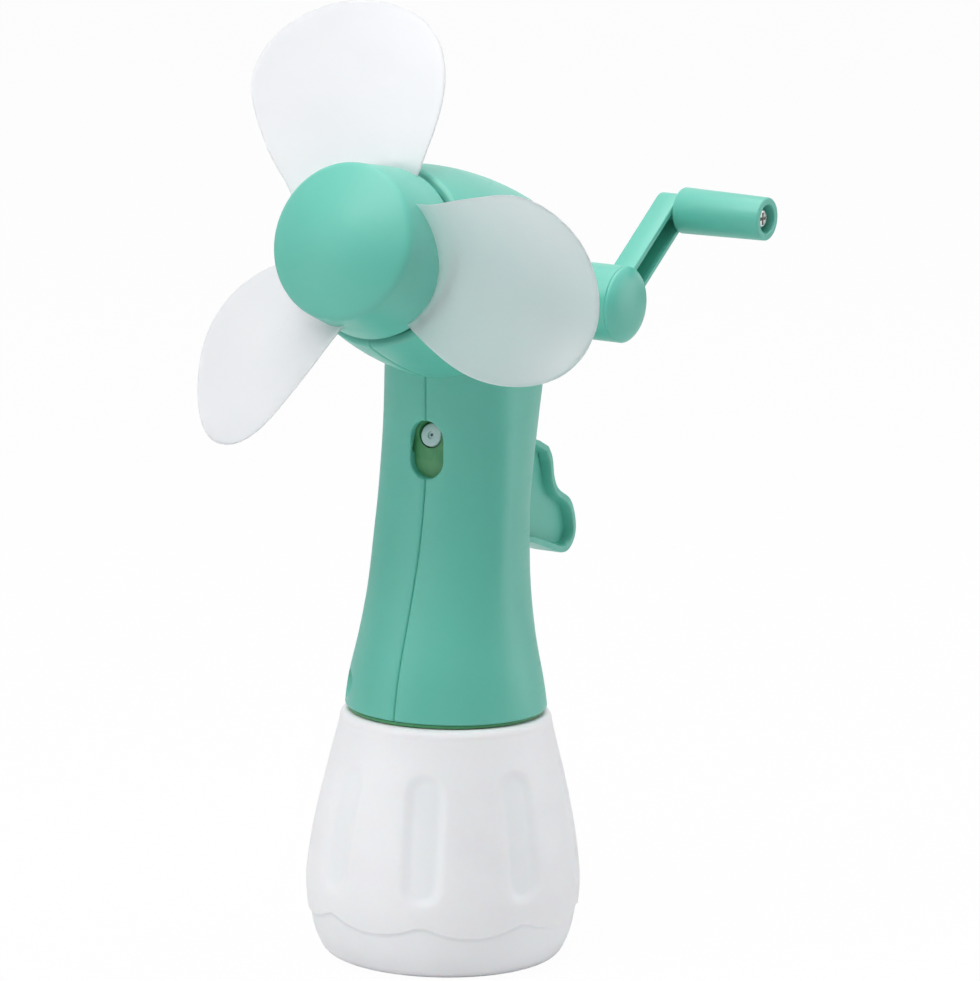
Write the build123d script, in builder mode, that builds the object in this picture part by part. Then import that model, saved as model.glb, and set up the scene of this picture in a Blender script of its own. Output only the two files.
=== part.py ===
from build123d import *
import math
import os

# Hand crank fan with a water-spray pump, 230 mm tall, standing on its refill bottle.
# Row frame: origin at the centre of the bottle's base, +Z up, the fan looks along -Y
# (tilted up), the crank is on +X. All sizes in mm.

# ---- driving sizes -------------------------------------------------------
TILT = 16.5                  # fan and pump axes, above horizontal
FAN_Y = -33.2                # rotor hub's rear rim centre
FAN_Z = 172.3
CRANK_BACK = 52.0            # crank axis, behind the rotor's rear rim
CRANK_ANGLE = 35.2           # crank arm at rest, above +Y
EGG_BACK = 31.7              # widest place of the head, behind the rotor's rear rim
EGG_HALF_LENGTH = 59.2
EGG_RADIUS = 24.5
HEAD_FRONT = -2.5            # head's front rim, along the fan axis
WALL = 2.0

HUB_REAR_RADIUS = 20.1
HUB_FRONT_RADIUS = 18.3
HUB_SIDE = 17.2
HUB_DOME = 4.8
HUB_WALL = 1.8
HUB_BOSS_RADIUS = 4.0
HUB_BOSS_REAR = -3.2
BLADE_THICKNESS = 0.9
BLADE_ROOT_RADIUS = 15.4
BLADE_MID_ANGLE = 95.5       # of the blade on the crank's side, from straight up

SHAFT_RADIUS = 1.5
SHAFT_FRONT = 13.0
SHAFT_REAR = -39.5
BUSH_RADIUS = 3.5
FRONT_BUSH = (-8.0, -3.5)
REAR_BUSH = (-29.0, -24.0)
FRONT_WALL = (-6.5, -4.5)
REAR_WALL = (-28.0, -25.0)
RUN = 0.05                   # radial running clearance
MODULE = 0.8
PINION_TEETH = 8
CROWN_TEETH = 40
PINION_FACE = 5.0
CROWN_FACE = (14.6, 17.4)
CROWN_DISC = (4.5, 6.3)

CRANK_SHAFT_RADIUS = 2.5
CRANK_SHAFT = (4.5, 35.0)
CRANK_BUSH = (15.5, 23.2)
CRANK_BUSH_RADIUS = 4.5
CRANK_BOSS_RADIUS = 6.5
CRANK_HUB_RADIUS = 9.0
CRANK_HUB = (24.2, 36.2)
ARM_INNER = 30.3
ARM_LENGTH = 33.0
ARM_WIDTH = 7.5
ARM_WALL = 1.2
CAP_HEIGHT = 3.3
GRIP = (36.4, 59.2)
GRIP_INNER_RADIUS = 5.5
GRIP_OUTER_RADIUS = 5.1
GRIP_RECESS = 3.2
GRIP_RECESS_RADIUS = 3.4
GRIP_SCREW_RADIUS = 1.6

NOZZLE_Y = -9.0
NOZZLE_Z = 126.4
WINDOW_WIDTH = 8.8
WINDOW_HEIGHT = 13.8
WINDOW_Z = 123.1
PUMP_BORE = 4.8
PUMP_RADIUS = 6.3
PUMP_BODY = (5.0, 22.0)
PUMP_FLOOR = 7.5
PISTON = (16.5, 19.5)
STROKE = 6.0
ROD_RADIUS = 2.3
COLUMN_Y = 0.8
COLUMN_RADIUS = 4.4
POST_Y = -2.4                # pump body's front post, seen through the window
POST_RADIUS = 5.2
POST = (108.0, 131.5)
NOZZLE_RADIUS = 2.75
TRIGGER_HALF = 4.0
TRIGGER_WEB = 1.6
TRIGGER_RIM = 1.8
TRIGGER_FLANGE = (29.5, 31.5)
TRIGGER_TOP = 5.3
TRIGGER_BOTTOM = -19.0

HANDLE_BOTTOM = 60.3
SHOULDER_Z = 59.3
BOTTLE_RADIUS = 32.5
BOTTLE_WALL = 1.0
NECK_RADIUS = 8.3
NECK_BORE = 6.4
NECK_TOP = 71.0
GASKET = 1.0
COLLAR_SKIRT_RADIUS = 10.0
COLLAR_FLANGE_RADIUS = 23.3
SCREW_HEAD_RADIUS = 2.7
SCREW_HEAD_HEIGHT = 1.9
SCREW_SHANK_RADIUS = 1.4
BOSS_RADIUS = 3.8

os.makedirs("parts", exist_ok=True)

FAN = Plane(
    origin=(0, FAN_Y, FAN_Z),
    x_dir=(1, 0, 0),
    z_dir=(0, -math.cos(math.radians(TILT)), math.sin(math.radians(TILT))),
)
PUMP = Plane(origin=(0, NOZZLE_Y, NOZZLE_Z), x_dir=(1, 0, 0), z_dir=-FAN.z_dir)
CRANK_CENTRE = FAN.from_local_coords(Vector(0, 0, -CRANK_BACK))
CRANK = Plane(origin=CRANK_CENTRE, x_dir=(0, 1, 0), z_dir=(1, 0, 0))
ARM_DIR = Vector(0, math.cos(math.radians(CRANK_ANGLE)), math.sin(math.radians(CRANK_ANGLE)))
GRIP_PLANE = Plane(origin=CRANK_CENTRE + ARM_DIR * ARM_LENGTH, x_dir=(0, 1, 0), z_dir=(1, 0, 0))

# Handle sections: height, half width, front, rear, where it is widest.
HANDLE = (
    (HANDLE_BOTTOM, 24.1, -23.6, 23.6, 0.0),
    (66.0, 23.4, -22.8, 22.8, -0.5),
    (74.5, 21.5, -20.8, 22.0, -1.0),
    (82.0, 19.9, -18.4, 22.5, -2.0),
    (90.0, 18.8, -16.0, 22.7, -2.6),
    (100.0, 18.2, -13.4, 22.7, -2.6),
    (108.0, 17.8, -12.1, 23.1, -2.0),
    (118.0, 17.6, -11.2, 24.9, -1.0),
    (128.0, 17.4, -11.5, 27.5, 0.0),
    (138.0, 17.3, -11.9, 30.5, 0.3),
    (150.0, 17.3, -12.5, 33.0, 1.0),
)
# Housing screws, as (Y, Z) of each axis along X.
SCREWS = ((-14.3, 65.6), (14.0, 66.5), (-1.0, 139.5), (43.0, 150.2), (-15.5, 182.0))
SCREW_HEAD_X = (-12.0, -12.0, -11.0, -6.5, -9.5)
SCREW_TIP_X = 7.0


def export(shape, name):
    """Label one finished piece and write its file."""
    shape.label = name
    export_step(shape, "parts/" + name + ".step")


def ring(name, plane, inner, outer, low, high):
    """A plain bush, washer or tube between two heights above a plane."""
    with BuildPart() as part:
        with BuildSketch(plane.offset(low)):
            Circle(outer)
            Circle(inner, mode=Mode.SUBTRACT)
        extrude(amount=high - low)
    export(part.part, name)
    return part.part


def rod(plane, radius, low, high):
    """A plain round solid between two heights above a plane, for use in cuts."""
    with BuildPart() as part:
        with BuildSketch(plane.offset(low)):
            Circle(radius)
        extrude(amount=high - low)
    return part.part


# ---- outer and inner forms of the housing --------------------------------
def egg(shrink):
    """The head: an ellipsoid about the fan axis, cut off at its front rim."""
    length = EGG_HALF_LENGTH - shrink
    radius = EGG_RADIUS - shrink
    with BuildPart() as part:
        with BuildSketch(Plane.XZ):
            Ellipse(radius, length)
            with Locations((-radius, 0)):
                Rectangle(2 * radius, 3 * length, mode=Mode.SUBTRACT)
        revolve(axis=Axis.Z)
    placed = FAN.offset(-EGG_BACK).location * part.part
    front = FAN.location * Pos(0, 0, HEAD_FRONT) * Box(
        80, 80, 80, align=(Align.CENTER, Align.CENTER, Align.MIN)
    )
    return placed - front


def handle_form(shrink, bottom):
    """The grip below the head: a loft through flattened round sections."""
    with BuildPart() as part:
        for row, (height, half, front, rear, widest) in enumerate(HANDLE):
            level = bottom if row == 0 else height
            wide = half - shrink
            ahead = widest - front - shrink
            behind = rear - widest - shrink
            points = []
            for step in range(20):
                turn = 2 * math.pi * step / 20
                reach = ahead if math.cos(turn) > 0 else behind
                points.append((wide * math.sin(turn), widest - reach * math.cos(turn)))
            with BuildSketch(Plane.XY.offset(level)):
                with BuildLine():
                    Spline(*points, periodic=True)
                make_face()
        loft()
    return part.part


def half_space(sign):
    """Everything on one side of the centre plane."""
    return Pos(sign * 100, 0, 120) * Box(200, 400, 400)


def trigger_slot(extra):
    """The space the trigger slides in, along the pump axis."""
    low = TRIGGER_BOTTOM - extra
    high = TRIGGER_TOP + extra
    with BuildPart() as part:
        with BuildSketch(PUMP.offset(TRIGGER_FLANGE[1] - 3.0)):
            with Locations((0, -(low + high) / 2)):
                Rectangle(2 * (TRIGGER_HALF + extra), high - low)
        extrude(amount=22.0)
    return part.part


def prism(points, plane, amount):
    """A closed outline of straight sides, extruded from a plane."""
    with BuildPart() as part:
        with BuildSketch(plane):
            with BuildLine():
                Polyline(*points, close=True)
            make_face()
        extrude(amount=amount)
    return part.part


# ---- housing: two halves that meet on the centre plane --------------------
outer = handle_form(0, HANDLE_BOTTOM) + egg(0)
inner = handle_form(WALL, HANDLE_BOTTOM - 1) + egg(WALL)
filling = handle_form(WALL / 2, HANDLE_BOTTOM) + egg(WALL / 2)

webs = rod(FAN, 40, *FRONT_WALL) + rod(FAN, 40, *REAR_WALL)
webs = webs & egg(WALL / 2)
pump_web = rod(PUMP, 40, 13.0, 15.0) & handle_form(WALL / 2, HANDLE_BOTTOM)
pump_web = pump_web & (Pos(0, 0, NOZZLE_Z - 4) * Box(80, 80, 30))
plates = Pos(0, -9, 91) * Box(80, 32, 2) + Pos(0, -9, 106) * Box(80, 32, 2)
webs = webs + pump_web + (plates & handle_form(WALL / 2, HANDLE_BOTTOM))
for y, z in SCREWS:
    post = rod(Plane(origin=(0, y, z), x_dir=(0, 1, 0), z_dir=(1, 0, 0)), BOSS_RADIUS, -30, 30)
    webs = webs + (post & filling)
housing = (outer - inner) + webs

cuts = rod(FAN, BUSH_RADIUS, -30.5, 1.0)
cuts = cuts + rod(PUMP, PUMP_RADIUS, 0.0, PUMP_BODY[1] + 2.0)
cuts = cuts + rod(Plane.XY.offset(0), COLUMN_RADIUS, 70, NOZZLE_Z - 3).moved(Pos(0, COLUMN_Y, 0))
cuts = cuts + rod(Plane.XY, POST_RADIUS, *POST).moved(Pos(0, POST_Y, 0))
cuts = cuts + rod(Plane.XY, COLLAR_FLANGE_RADIUS - 0.7, 60.9, 61.6)
cuts = cuts + trigger_slot(0.25)
with BuildPart() as window:
    with BuildSketch(Plane.XZ.offset(20)):
        with Locations((0, WINDOW_Z)):
            SlotOverall(WINDOW_HEIGHT, WINDOW_WIDTH, rotation=90)
    extrude(amount=-14)
cuts = cuts + window.part

crank_boss = rod(CRANK, CRANK_BOSS_RADIUS, CRANK_BUSH[0], 23.6)
crank_land = rod(CRANK, CRANK_HUB_RADIUS - 0.5, 19.0, 23.6)
left = (housing - cuts) & half_space(-1)
right = ((housing - cuts) & half_space(1)) + crank_boss + crank_land
right = right - rod(CRANK, CRANK_BUSH_RADIUS, 13.0, 25.0)
for (y, z), head_x in zip(SCREWS, SCREW_HEAD_X):
    place = Plane(origin=(0, y, z), x_dir=(0, 1, 0), z_dir=(1, 0, 0))
    left = left - rod(place, SCREW_HEAD_RADIUS + 0.2, -40, head_x)
    left = left - rod(place, SCREW_SHANK_RADIUS, head_x - 1, 1)
    right = right - rod(place, SCREW_SHANK_RADIUS, -1, SCREW_TIP_X + 0.5)
export(left, "housing_left")
export(right, "housing_right")

with BuildPart() as housing_screws:
    for (y, z), head_x in zip(SCREWS, SCREW_HEAD_X):
        place = Plane(origin=(head_x, y, z), x_dir=(0, 1, 0), z_dir=(1, 0, 0))
        with BuildSketch(place):
            Circle(SCREW_SHANK_RADIUS)
        extrude(amount=SCREW_TIP_X - head_x)
        with BuildSketch(place.offset(-SCREW_HEAD_HEIGHT)):
            Circle(SCREW_HEAD_RADIUS)
        extrude(amount=SCREW_HEAD_HEIGHT)
        with BuildSketch(place.offset(-SCREW_HEAD_HEIGHT)):
            Rectangle(3.0, 0.7)
            Rectangle(0.7, 3.0)
        extrude(amount=1.0, mode=Mode.SUBTRACT)
export(housing_screws.part, "housing_screws")

# ---- rotor ----------------------------------------------------------------
blade_angles = [BLADE_MID_ANGLE - 120 + 120 * number for number in range(3)]
# Blade outline as (out from the axis, across), and how each soft blade has settled:
# its tip moved sideways and outward, turned about the blade's length, and curled forward.
BLADE_OUTLINE = (
    (53.1, 5.3), (50.9, 13.6), (44.1, 22.2), (29.4, 23.4), (17.1, 17.0), (5.8, 6.5),
    (9.2, -12.4), (17.2, -11.4), (23.6, -13.5), (33.0, -15.6), (42.8, -15.4), (51.3, -6.9),
)
BLADE_SET = ((3.1, 8.4, 1.6, 2.0), (-7.8, 8.0, -1.7, -5.2), (4.0, 8.1, 1.0, -0.4))


def blade_height(out, across, settled):
    """How far the blade's middle surface lies ahead of the rotor's rear rim."""
    a = across / 15.0
    b = (out - 16.0) / 20.0
    root = 4.47 - 5.78 * a + 3.91 * a ** 2 - 1.21 * a ** 3
    bend = 0.98 - 2.57 * a - 1.43 * a ** 2 + 0.68 * a ** 3
    tip = max(out - 18.0, 0.0) / 40.0
    return root + b * bend - 0.53 * b ** 2 + settled[2] * tip * a + settled[3] * tip ** 2


def blade_plane(angle):
    """Local x out along the blade, local y across it, local z to the rear."""
    turn = math.radians(angle)
    out = FAN.from_local_coords(Vector(math.sin(turn), math.cos(turn), 0)) - FAN.origin
    return Plane(origin=FAN.origin, x_dir=out, z_dir=-FAN.z_dir)


def blade_solid(angle, settled, thickness):
    """One blade: a curved sheet cut to the blade outline."""
    rows = []
    for step in range(13):
        out = 6.0 + 5.0 * step
        row = []
        for place in range(13):
            across = -30.0 + 5.0 * place
            row.append(Vector(out, across, -blade_height(out, across, settled) - thickness / 2))
        rows.append(row)
    sheet = Solid.extrude(Face.make_surface_from_array_of_points(rows), Vector(0, 0, thickness))
    points = []
    for out, across in BLADE_OUTLINE:
        tip = max(out - 18.0, 0.0) / 40.0
        points.append((out + settled[1] * tip ** 2, across + settled[0] * tip ** 2))
    with BuildPart() as form:
        with BuildSketch(Plane.XY.offset(-40)):
            with BuildLine():
                Spline(*points, periodic=True)
            make_face()
            Circle(BLADE_ROOT_RADIUS, mode=Mode.SUBTRACT)
        extrude(amount=80)
    return blade_plane(angle).location * (sheet & form.part)


blades = []
for number, (angle, settled) in enumerate(zip(blade_angles, BLADE_SET)):
    blade = blade_solid(angle, settled, BLADE_THICKNESS)
    blades.append(blade)
    export(blade, "blade_" + str(number + 1))

with BuildPart() as cup:
    with BuildSketch(Plane.XZ):
        with BuildLine():
            Polyline((0, HUB_SIDE + HUB_DOME), (0, 0), (HUB_REAR_RADIUS, 0), (HUB_FRONT_RADIUS + 0.15, HUB_SIDE - 1.5))
            ThreePointArc(
                (HUB_FRONT_RADIUS + 0.15, HUB_SIDE - 1.5),
                (HUB_FRONT_RADIUS - 0.25, HUB_SIDE - 0.25),
                (HUB_FRONT_RADIUS - 1.4, HUB_SIDE + 0.45),
            )
            Spline(
                (HUB_FRONT_RADIUS - 1.4, HUB_SIDE + 0.45),
                (HUB_FRONT_RADIUS * 0.53, HUB_SIDE + HUB_DOME * 0.75),
                (0, HUB_SIDE + HUB_DOME),
                tangents=((-0.9, 0.4), (-1, 0)),
            )
        make_face()
    revolve(axis=Axis.Z)
with BuildPart() as hollow:
    with BuildSketch(Plane.XZ):
        with BuildLine():
            Polyline(
                (0, HUB_SIDE + HUB_DOME - 2.0),
                (HUB_FRONT_RADIUS * 0.5, HUB_SIDE + HUB_DOME * 0.75 - 2.2),
                (HUB_FRONT_RADIUS - HUB_WALL - 0.3, HUB_SIDE - 2.0),
                (HUB_REAR_RADIUS - HUB_WALL, -1.0),
                (0, -1.0),
                close=True,
            )
        make_face()
    revolve(axis=Axis.Z)
rib_bar = Box(2 * (HUB_FRONT_RADIUS - 1), 1.4, HUB_SIDE - 3, align=(Align.MIN, Align.CENTER, Align.MIN))
ribs = [
    Rot(0, 0, 90 - (angle + 61.5)) * Pos(0, 0, 3.4) * rib_bar for angle in blade_angles
]
ribs = [rib & (cup.part - rod(Plane.XY, 3.0, 0, 12)) for rib in ribs]
boss = rod(Plane.XY, HUB_BOSS_RADIUS, HUB_BOSS_REAR, HUB_SIDE)
rotor_hub = (cup.part - hollow.part) + ribs + boss
rotor_hub = rotor_hub - rod(Plane.XY, SHAFT_RADIUS, HUB_BOSS_REAR - 1, SHAFT_FRONT)
rotor_hub = FAN.location * rotor_hub
for blade in blades:
    rotor_hub = rotor_hub - blade
export(rotor_hub, "rotor_hub")

back = rod(FAN, HUB_REAR_RADIUS - HUB_WALL - 0.6, 0.8, 3.0) - rod(FAN, HUB_BOSS_RADIUS, 0, 4)
for blade in blades:
    back = back - blade
back = back.solids().sort_by(SortBy.VOLUME)[-1]
export(back, "rotor_back")

ring("front_bush", FAN, SHAFT_RADIUS + RUN, BUSH_RADIUS, *FRONT_BUSH)
ring("rear_bush", FAN, SHAFT_RADIUS + RUN, BUSH_RADIUS, *REAR_BUSH)
ring("shaft_clip", FAN, SHAFT_RADIUS, 3.0, FRONT_BUSH[0] - 1.0, FRONT_BUSH[0] - 0.2)
with BuildPart() as fan_shaft:
    with BuildSketch(FAN.offset(SHAFT_REAR)):
        Circle(SHAFT_RADIUS)
    extrude(amount=SHAFT_FRONT - SHAFT_REAR)
    chamfer(fan_shaft.edges().filter_by(GeomType.CIRCLE), 0.25)
export(fan_shaft.part, "fan_shaft")

# ---- gears: a small pinion on the fan shaft, driven by a face gear --------
pinion_pitch = MODULE * PINION_TEETH / 2
crown_pitch = MODULE * CROWN_TEETH / 2
mesh_place = -(CRANK_BACK - crown_pitch)
TOOTH_ROOT = 1.15
TOOTH_MIDDLE = 0.9
TOOTH_TIP = 0.42
pinion_tooth = prism(
    (
        (1.7, -TOOTH_ROOT / 2),
        (pinion_pitch - 1.2, -TOOTH_ROOT / 2),
        (pinion_pitch, -TOOTH_MIDDLE / 2),
        (pinion_pitch + 0.65, -TOOTH_TIP / 2),
        (pinion_pitch + 0.65, TOOTH_TIP / 2),
        (pinion_pitch, TOOTH_MIDDLE / 2),
        (pinion_pitch - 1.2, TOOTH_ROOT / 2),
        (1.7, TOOTH_ROOT / 2),
    ),
    Plane.XY,
    PINION_FACE,
)
pinion = rod(Plane.XY, pinion_pitch - 1.2, 0, PINION_FACE)
pinion = pinion + [Rot(0, 0, (k + 0.5) * 360 / PINION_TEETH) * pinion_tooth for k in range(PINION_TEETH)]
pinion = pinion - rod(Plane.XY, SHAFT_RADIUS, -1, PINION_FACE + 1)
export(FAN.location * Pos(0, 0, mesh_place - PINION_FACE / 2) * pinion, "fan_pinion")

# Crown teeth stand on the disc and point to -X, at the fan shaft. The crown's own
# frame has z along +X and its first tooth on the fan axis, ahead of the crank.
CROWN = Plane(origin=CRANK_CENTRE, x_dir=FAN.z_dir, z_dir=(1, 0, 0))
tooth_tip_x = pinion_pitch - 0.7
tooth_plane = Plane(
    origin=CROWN.from_local_coords(Vector(CROWN_FACE[0], 0, 0)),
    x_dir=CROWN.y_dir,
    z_dir=CROWN.x_dir,
)
teeth_out = 1 if tooth_plane.y_dir.X > 0 else -1
crown_tooth = prism(
    (
        (-0.62, teeth_out * (CROWN_DISC[0] + 0.2)),
        (-0.25, teeth_out * tooth_tip_x),
        (0.25, teeth_out * tooth_tip_x),
        (0.62, teeth_out * (CROWN_DISC[0] + 0.2)),
    ),
    tooth_plane,
    CROWN_FACE[1] - CROWN_FACE[0],
)
crown_axis = Axis(CRANK_CENTRE, (1, 0, 0))
crown = rod(CROWN, CROWN_FACE[1] + 0.2, *CROWN_DISC) + rod(CROWN, 5.0, CROWN_DISC[0], CRANK_BUSH[0] - 0.3)
for number in range(6):
    spot = CROWN.from_local_coords(Vector(9.6, 0, 0))
    hole = rod(Plane(origin=spot, x_dir=(0, 1, 0), z_dir=(1, 0, 0)), 2.6, 0, 10)
    crown = crown - hole.rotate(crown_axis, 30 + 60 * number)
crown = crown + [crown_tooth.rotate(crown_axis, 360 / CROWN_TEETH * k) for k in range(CROWN_TEETH)]
crown = crown - rod(CROWN, CRANK_SHAFT_RADIUS, 0, 30)
export(crown, "crown_gear")

# ---- crank ----------------------------------------------------------------
screw_hole = rod(CRANK, 1.25, CRANK_SHAFT[1] - 8.0, CRANK_SHAFT[1] + 1)
crank_shaft = rod(CRANK, CRANK_SHAFT_RADIUS, *CRANK_SHAFT) - screw_hole
export(crank_shaft, "crank_shaft")
ring("crank_bush", CRANK, CRANK_SHAFT_RADIUS + RUN, CRANK_BUSH_RADIUS, *CRANK_BUSH)

ARM = Plane(origin=CRANK_CENTRE, x_dir=ARM_DIR, z_dir=(1, 0, 0))
hub_body = rod(ARM, CRANK_HUB_RADIUS, *CRANK_HUB)
arm_depth = CRANK_HUB[1] - ARM_INNER
arm_bar = prism(
    ((0, -ARM_WIDTH / 2), (ARM_LENGTH, -ARM_WIDTH / 2), (ARM_LENGTH, ARM_WIDTH / 2), (0, ARM_WIDTH / 2)),
    ARM.offset(ARM_INNER),
    arm_depth,
)
channel = prism(
    (
        (CRANK_HUB_RADIUS, -ARM_WIDTH / 2 + ARM_WALL),
        (ARM_LENGTH, -ARM_WIDTH / 2 + ARM_WALL),
        (ARM_LENGTH, ARM_WIDTH / 2 - ARM_WALL),
        (CRANK_HUB_RADIUS, ARM_WIDTH / 2 - ARM_WALL),
    ),
    ARM.offset(ARM_INNER + 1.4),
    arm_depth,
)
arm_end = rod(GRIP_PLANE, ARM_WIDTH / 2, ARM_INNER, CRANK_HUB[1])
pocket = rod(ARM, CRANK_HUB_RADIUS - 1.6, CRANK_HUB[0] - 1, CRANK_HUB[1] - 3.4)
pocket = pocket - rod(ARM, 4.6, CRANK_HUB[0], CRANK_HUB[1])
crank_arm = (hub_body - pocket) + (arm_bar - channel - rod(ARM, CRANK_HUB_RADIUS - 1.0, 20, 40)) + arm_end
crank_arm = crank_arm - rod(ARM, CRANK_SHAFT_RADIUS, 20, CRANK_SHAFT[1])
crank_arm = crank_arm - rod(ARM, 5.0, CRANK_HUB[1] - 1.8, 40)
crank_arm = crank_arm - rod(GRIP_PLANE, GRIP_SCREW_RADIUS, ARM_INNER + 0.8, 40)
export(crank_arm, "crank_arm")

with BuildPart() as crank_screw:
    with BuildSketch(CRANK.offset(CRANK_SHAFT[1] - 7.0)):
        Circle(1.25)
    extrude(amount=7.0)
    with BuildSketch(CRANK.offset(CRANK_SHAFT[1])):
        Circle(3.4)
    extrude(amount=0.9)
    with BuildSketch(CRANK.offset(CRANK_SHAFT[1] + 0.9)):
        Rectangle(3.6, 0.8)
        Rectangle(0.8, 3.6)
    extrude(amount=-0.5, mode=Mode.SUBTRACT)
export(crank_screw.part, "crank_screw")

cap_top = CRANK_HUB[1] + CAP_HEIGHT
with BuildPart() as dome:
    with BuildSketch(Plane.XZ):
        with BuildLine():
            Polyline((0, cap_top), (0, CRANK_HUB[1]), (CRANK_HUB_RADIUS, CRANK_HUB[1]))
            Spline(
                (CRANK_HUB_RADIUS, CRANK_HUB[1]),
                (CRANK_HUB_RADIUS * 0.87, CRANK_HUB[1] + CAP_HEIGHT * 0.5),
                (CRANK_HUB_RADIUS * 0.5, CRANK_HUB[1] + CAP_HEIGHT * 0.87),
                (0, cap_top),
                tangents=((0, 1), (-1, 0)),
            )
        make_face()
    revolve(axis=Axis.Z)
cap_ring = rod(Plane.XY, 5.0, CRANK_HUB[1] - 1.8, CRANK_HUB[1] + 0.5)
cap_ring = cap_ring - rod(Plane.XY, 4.0, CRANK_HUB[1] - 3, CRANK_HUB[1] + 0.3)
export(CRANK.location * (dome.part + cap_ring), "crank_cap")

grip_length = GRIP[1] - GRIP[0]
with BuildPart() as grip_form:
    with BuildSketch(Plane.XZ):
        with BuildLine():
            Polyline(
                (GRIP_SCREW_RADIUS + RUN, GRIP[0]),
                (GRIP_INNER_RADIUS, GRIP[0]),
                (GRIP_OUTER_RADIUS, GRIP[1]),
                (GRIP_RECESS_RADIUS, GRIP[1]),
                (GRIP_RECESS_RADIUS, GRIP[1] - GRIP_RECESS),
                (GRIP_SCREW_RADIUS + RUN, GRIP[1] - GRIP_RECESS),
                close=True,
            )
        make_face()
    revolve(axis=Axis.Z)
    fillet(grip_form.edges().filter_by(GeomType.CIRCLE).group_by(SortBy.RADIUS)[-1], 0.6)
    outer_rim = grip_form.edges().filter_by(GeomType.CIRCLE).group_by(Axis.Z)[-1]
    fillet(outer_rim.sort_by(SortBy.RADIUS)[-1], 0.6)
export(GRIP_PLANE.location * grip_form.part, "grip")

screw_seat = GRIP[1] - GRIP_RECESS
with BuildPart() as grip_screw:
    with BuildSketch(GRIP_PLANE.offset(ARM_INNER + 0.8)):
        Circle(GRIP_SCREW_RADIUS)
    extrude(amount=screw_seat - ARM_INNER - 0.8 + 0.1)
    with BuildSketch(GRIP_PLANE.offset(screw_seat + 0.1)):
        Circle(2.6)
    extrude(amount=1.8)
    fillet(grip_screw.edges().filter_by(GeomType.CIRCLE).group_by(Axis.X)[-1], 0.8)
    with BuildSketch(GRIP_PLANE.offset(screw_seat + 1.9)):
        Rectangle(3.0, 0.7)
        Rectangle(0.7, 3.0)
    extrude(amount=-1.0, mode=Mode.SUBTRACT)
export(grip_screw.part, "grip_screw")

# ---- water pump, trigger and nozzle ---------------------------------------
barrel = rod(PUMP, PUMP_RADIUS, *PUMP_BODY) + rod(PUMP, 3.6, 2.4, PUMP_BODY[0] + 1)
column = rod(Plane.XY, COLUMN_RADIUS, 74.5, NOZZLE_Z - 4.0) + rod(Plane.XY, 7.0, 74.5, 76.5)
column = column + rod(Plane.XY, 3.2, 69.0, 75.0)
pump_body = barrel + column.moved(Pos(0, COLUMN_Y, 0))
pump_body = pump_body + rod(Plane.XY, POST_RADIUS, *POST).moved(Pos(0, POST_Y, 0))
pump_body = pump_body - rod(PUMP, NOZZLE_RADIUS + 0.4, -6.0, 2.4)
pump_body = pump_body - rod(PUMP, PUMP_BORE, PUMP_FLOOR, PUMP_BODY[1] + 1)
pump_body = pump_body - rod(PUMP, 0.8, 4.0, PUMP_FLOOR + 1) - rod(PUMP, 1.8, 2.0, 4.6)
inlet = rod(Plane.XY, 1.4, 70, NOZZLE_Z - 5) + rod(Plane.XY, 1.9, 68, 77) + rod(Plane.XY, 2.0, 108, 113.5)
pump_body = pump_body - inlet.moved(Pos(0, COLUMN_Y, 0))
export(pump_body, "pump_body")
ring("pump_cap", PUMP, ROD_RADIUS + RUN, PUMP_RADIUS, PUMP_BODY[1], PUMP_BODY[1] + 1.2)

nozzle = rod(PUMP, NOZZLE_RADIUS, 0, 1.6) + rod(PUMP, 1.8, 1.6, 4.4)
nozzle = nozzle - rod(PUMP, 0.35, -1, 5) - rod(PUMP, 0.9, -0.1, 0.4)
export(nozzle, "nozzle")

with BuildPart() as valve_ball:
    with Locations((0, COLUMN_Y, 109.3)):
        Sphere(1.6)
export(valve_ball.part, "valve_ball")

piston = rod(PUMP, PUMP_BORE - RUN, *PISTON) + rod(PUMP, ROD_RADIUS, PISTON[1], TRIGGER_FLANGE[0] + 1.5)
seal_low = PISTON[0] + 1.0
piston = piston - (rod(PUMP, 6, seal_low, seal_low + 1.0) - rod(PUMP, 3.9, 0, 30))
export(piston, "piston")
ring("piston_seal", PUMP, 3.9, PUMP_BORE - 0.02, seal_low, seal_low + 1.0)

SPRING_TURNS = 4.5
SPRING_WIRE = 0.3
spring_length = PISTON[0] - PUMP_FLOOR - 2 * SPRING_WIRE
with BuildPart() as pump_spring:
    with BuildLine():
        Helix(pitch=spring_length / SPRING_TURNS, height=spring_length, radius=3.6)
    with BuildSketch(Plane(origin=(3.6, 0, 0), x_dir=(1, 0, 0), z_dir=(0, 1, 0.08))):
        Circle(SPRING_WIRE)
    sweep(is_frenet=True)
export(PUMP.location * Pos(0, 0, PUMP_FLOOR + SPRING_WIRE) * pump_spring.part, "pump_spring")

# The trigger in its sliding frame: along the pump axis, and up from it. The hook that
# the finger pulls is hollowed on both sides, with a rim round a middle web.
TRIGGER_OUTLINE = (
    (34.0, 5.3), (44.0, 5.3), (48.5, 4.6), (51.3, 2.2), (53.4, -1.6), (56.2, -4.4), (62.6, -6.1),
    (66.4, -9.5), (68.2, -14.4), (66.3, -18.3), (59.0, -19.4), (49.6, -19.0), (34.0, -19.0),
)
SIDE = Plane(origin=PUMP.origin, x_dir=PUMP.z_dir, z_dir=(1, 0, 0))
side_up = 1 if SIDE.y_dir.Z > 0 else -1


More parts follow.
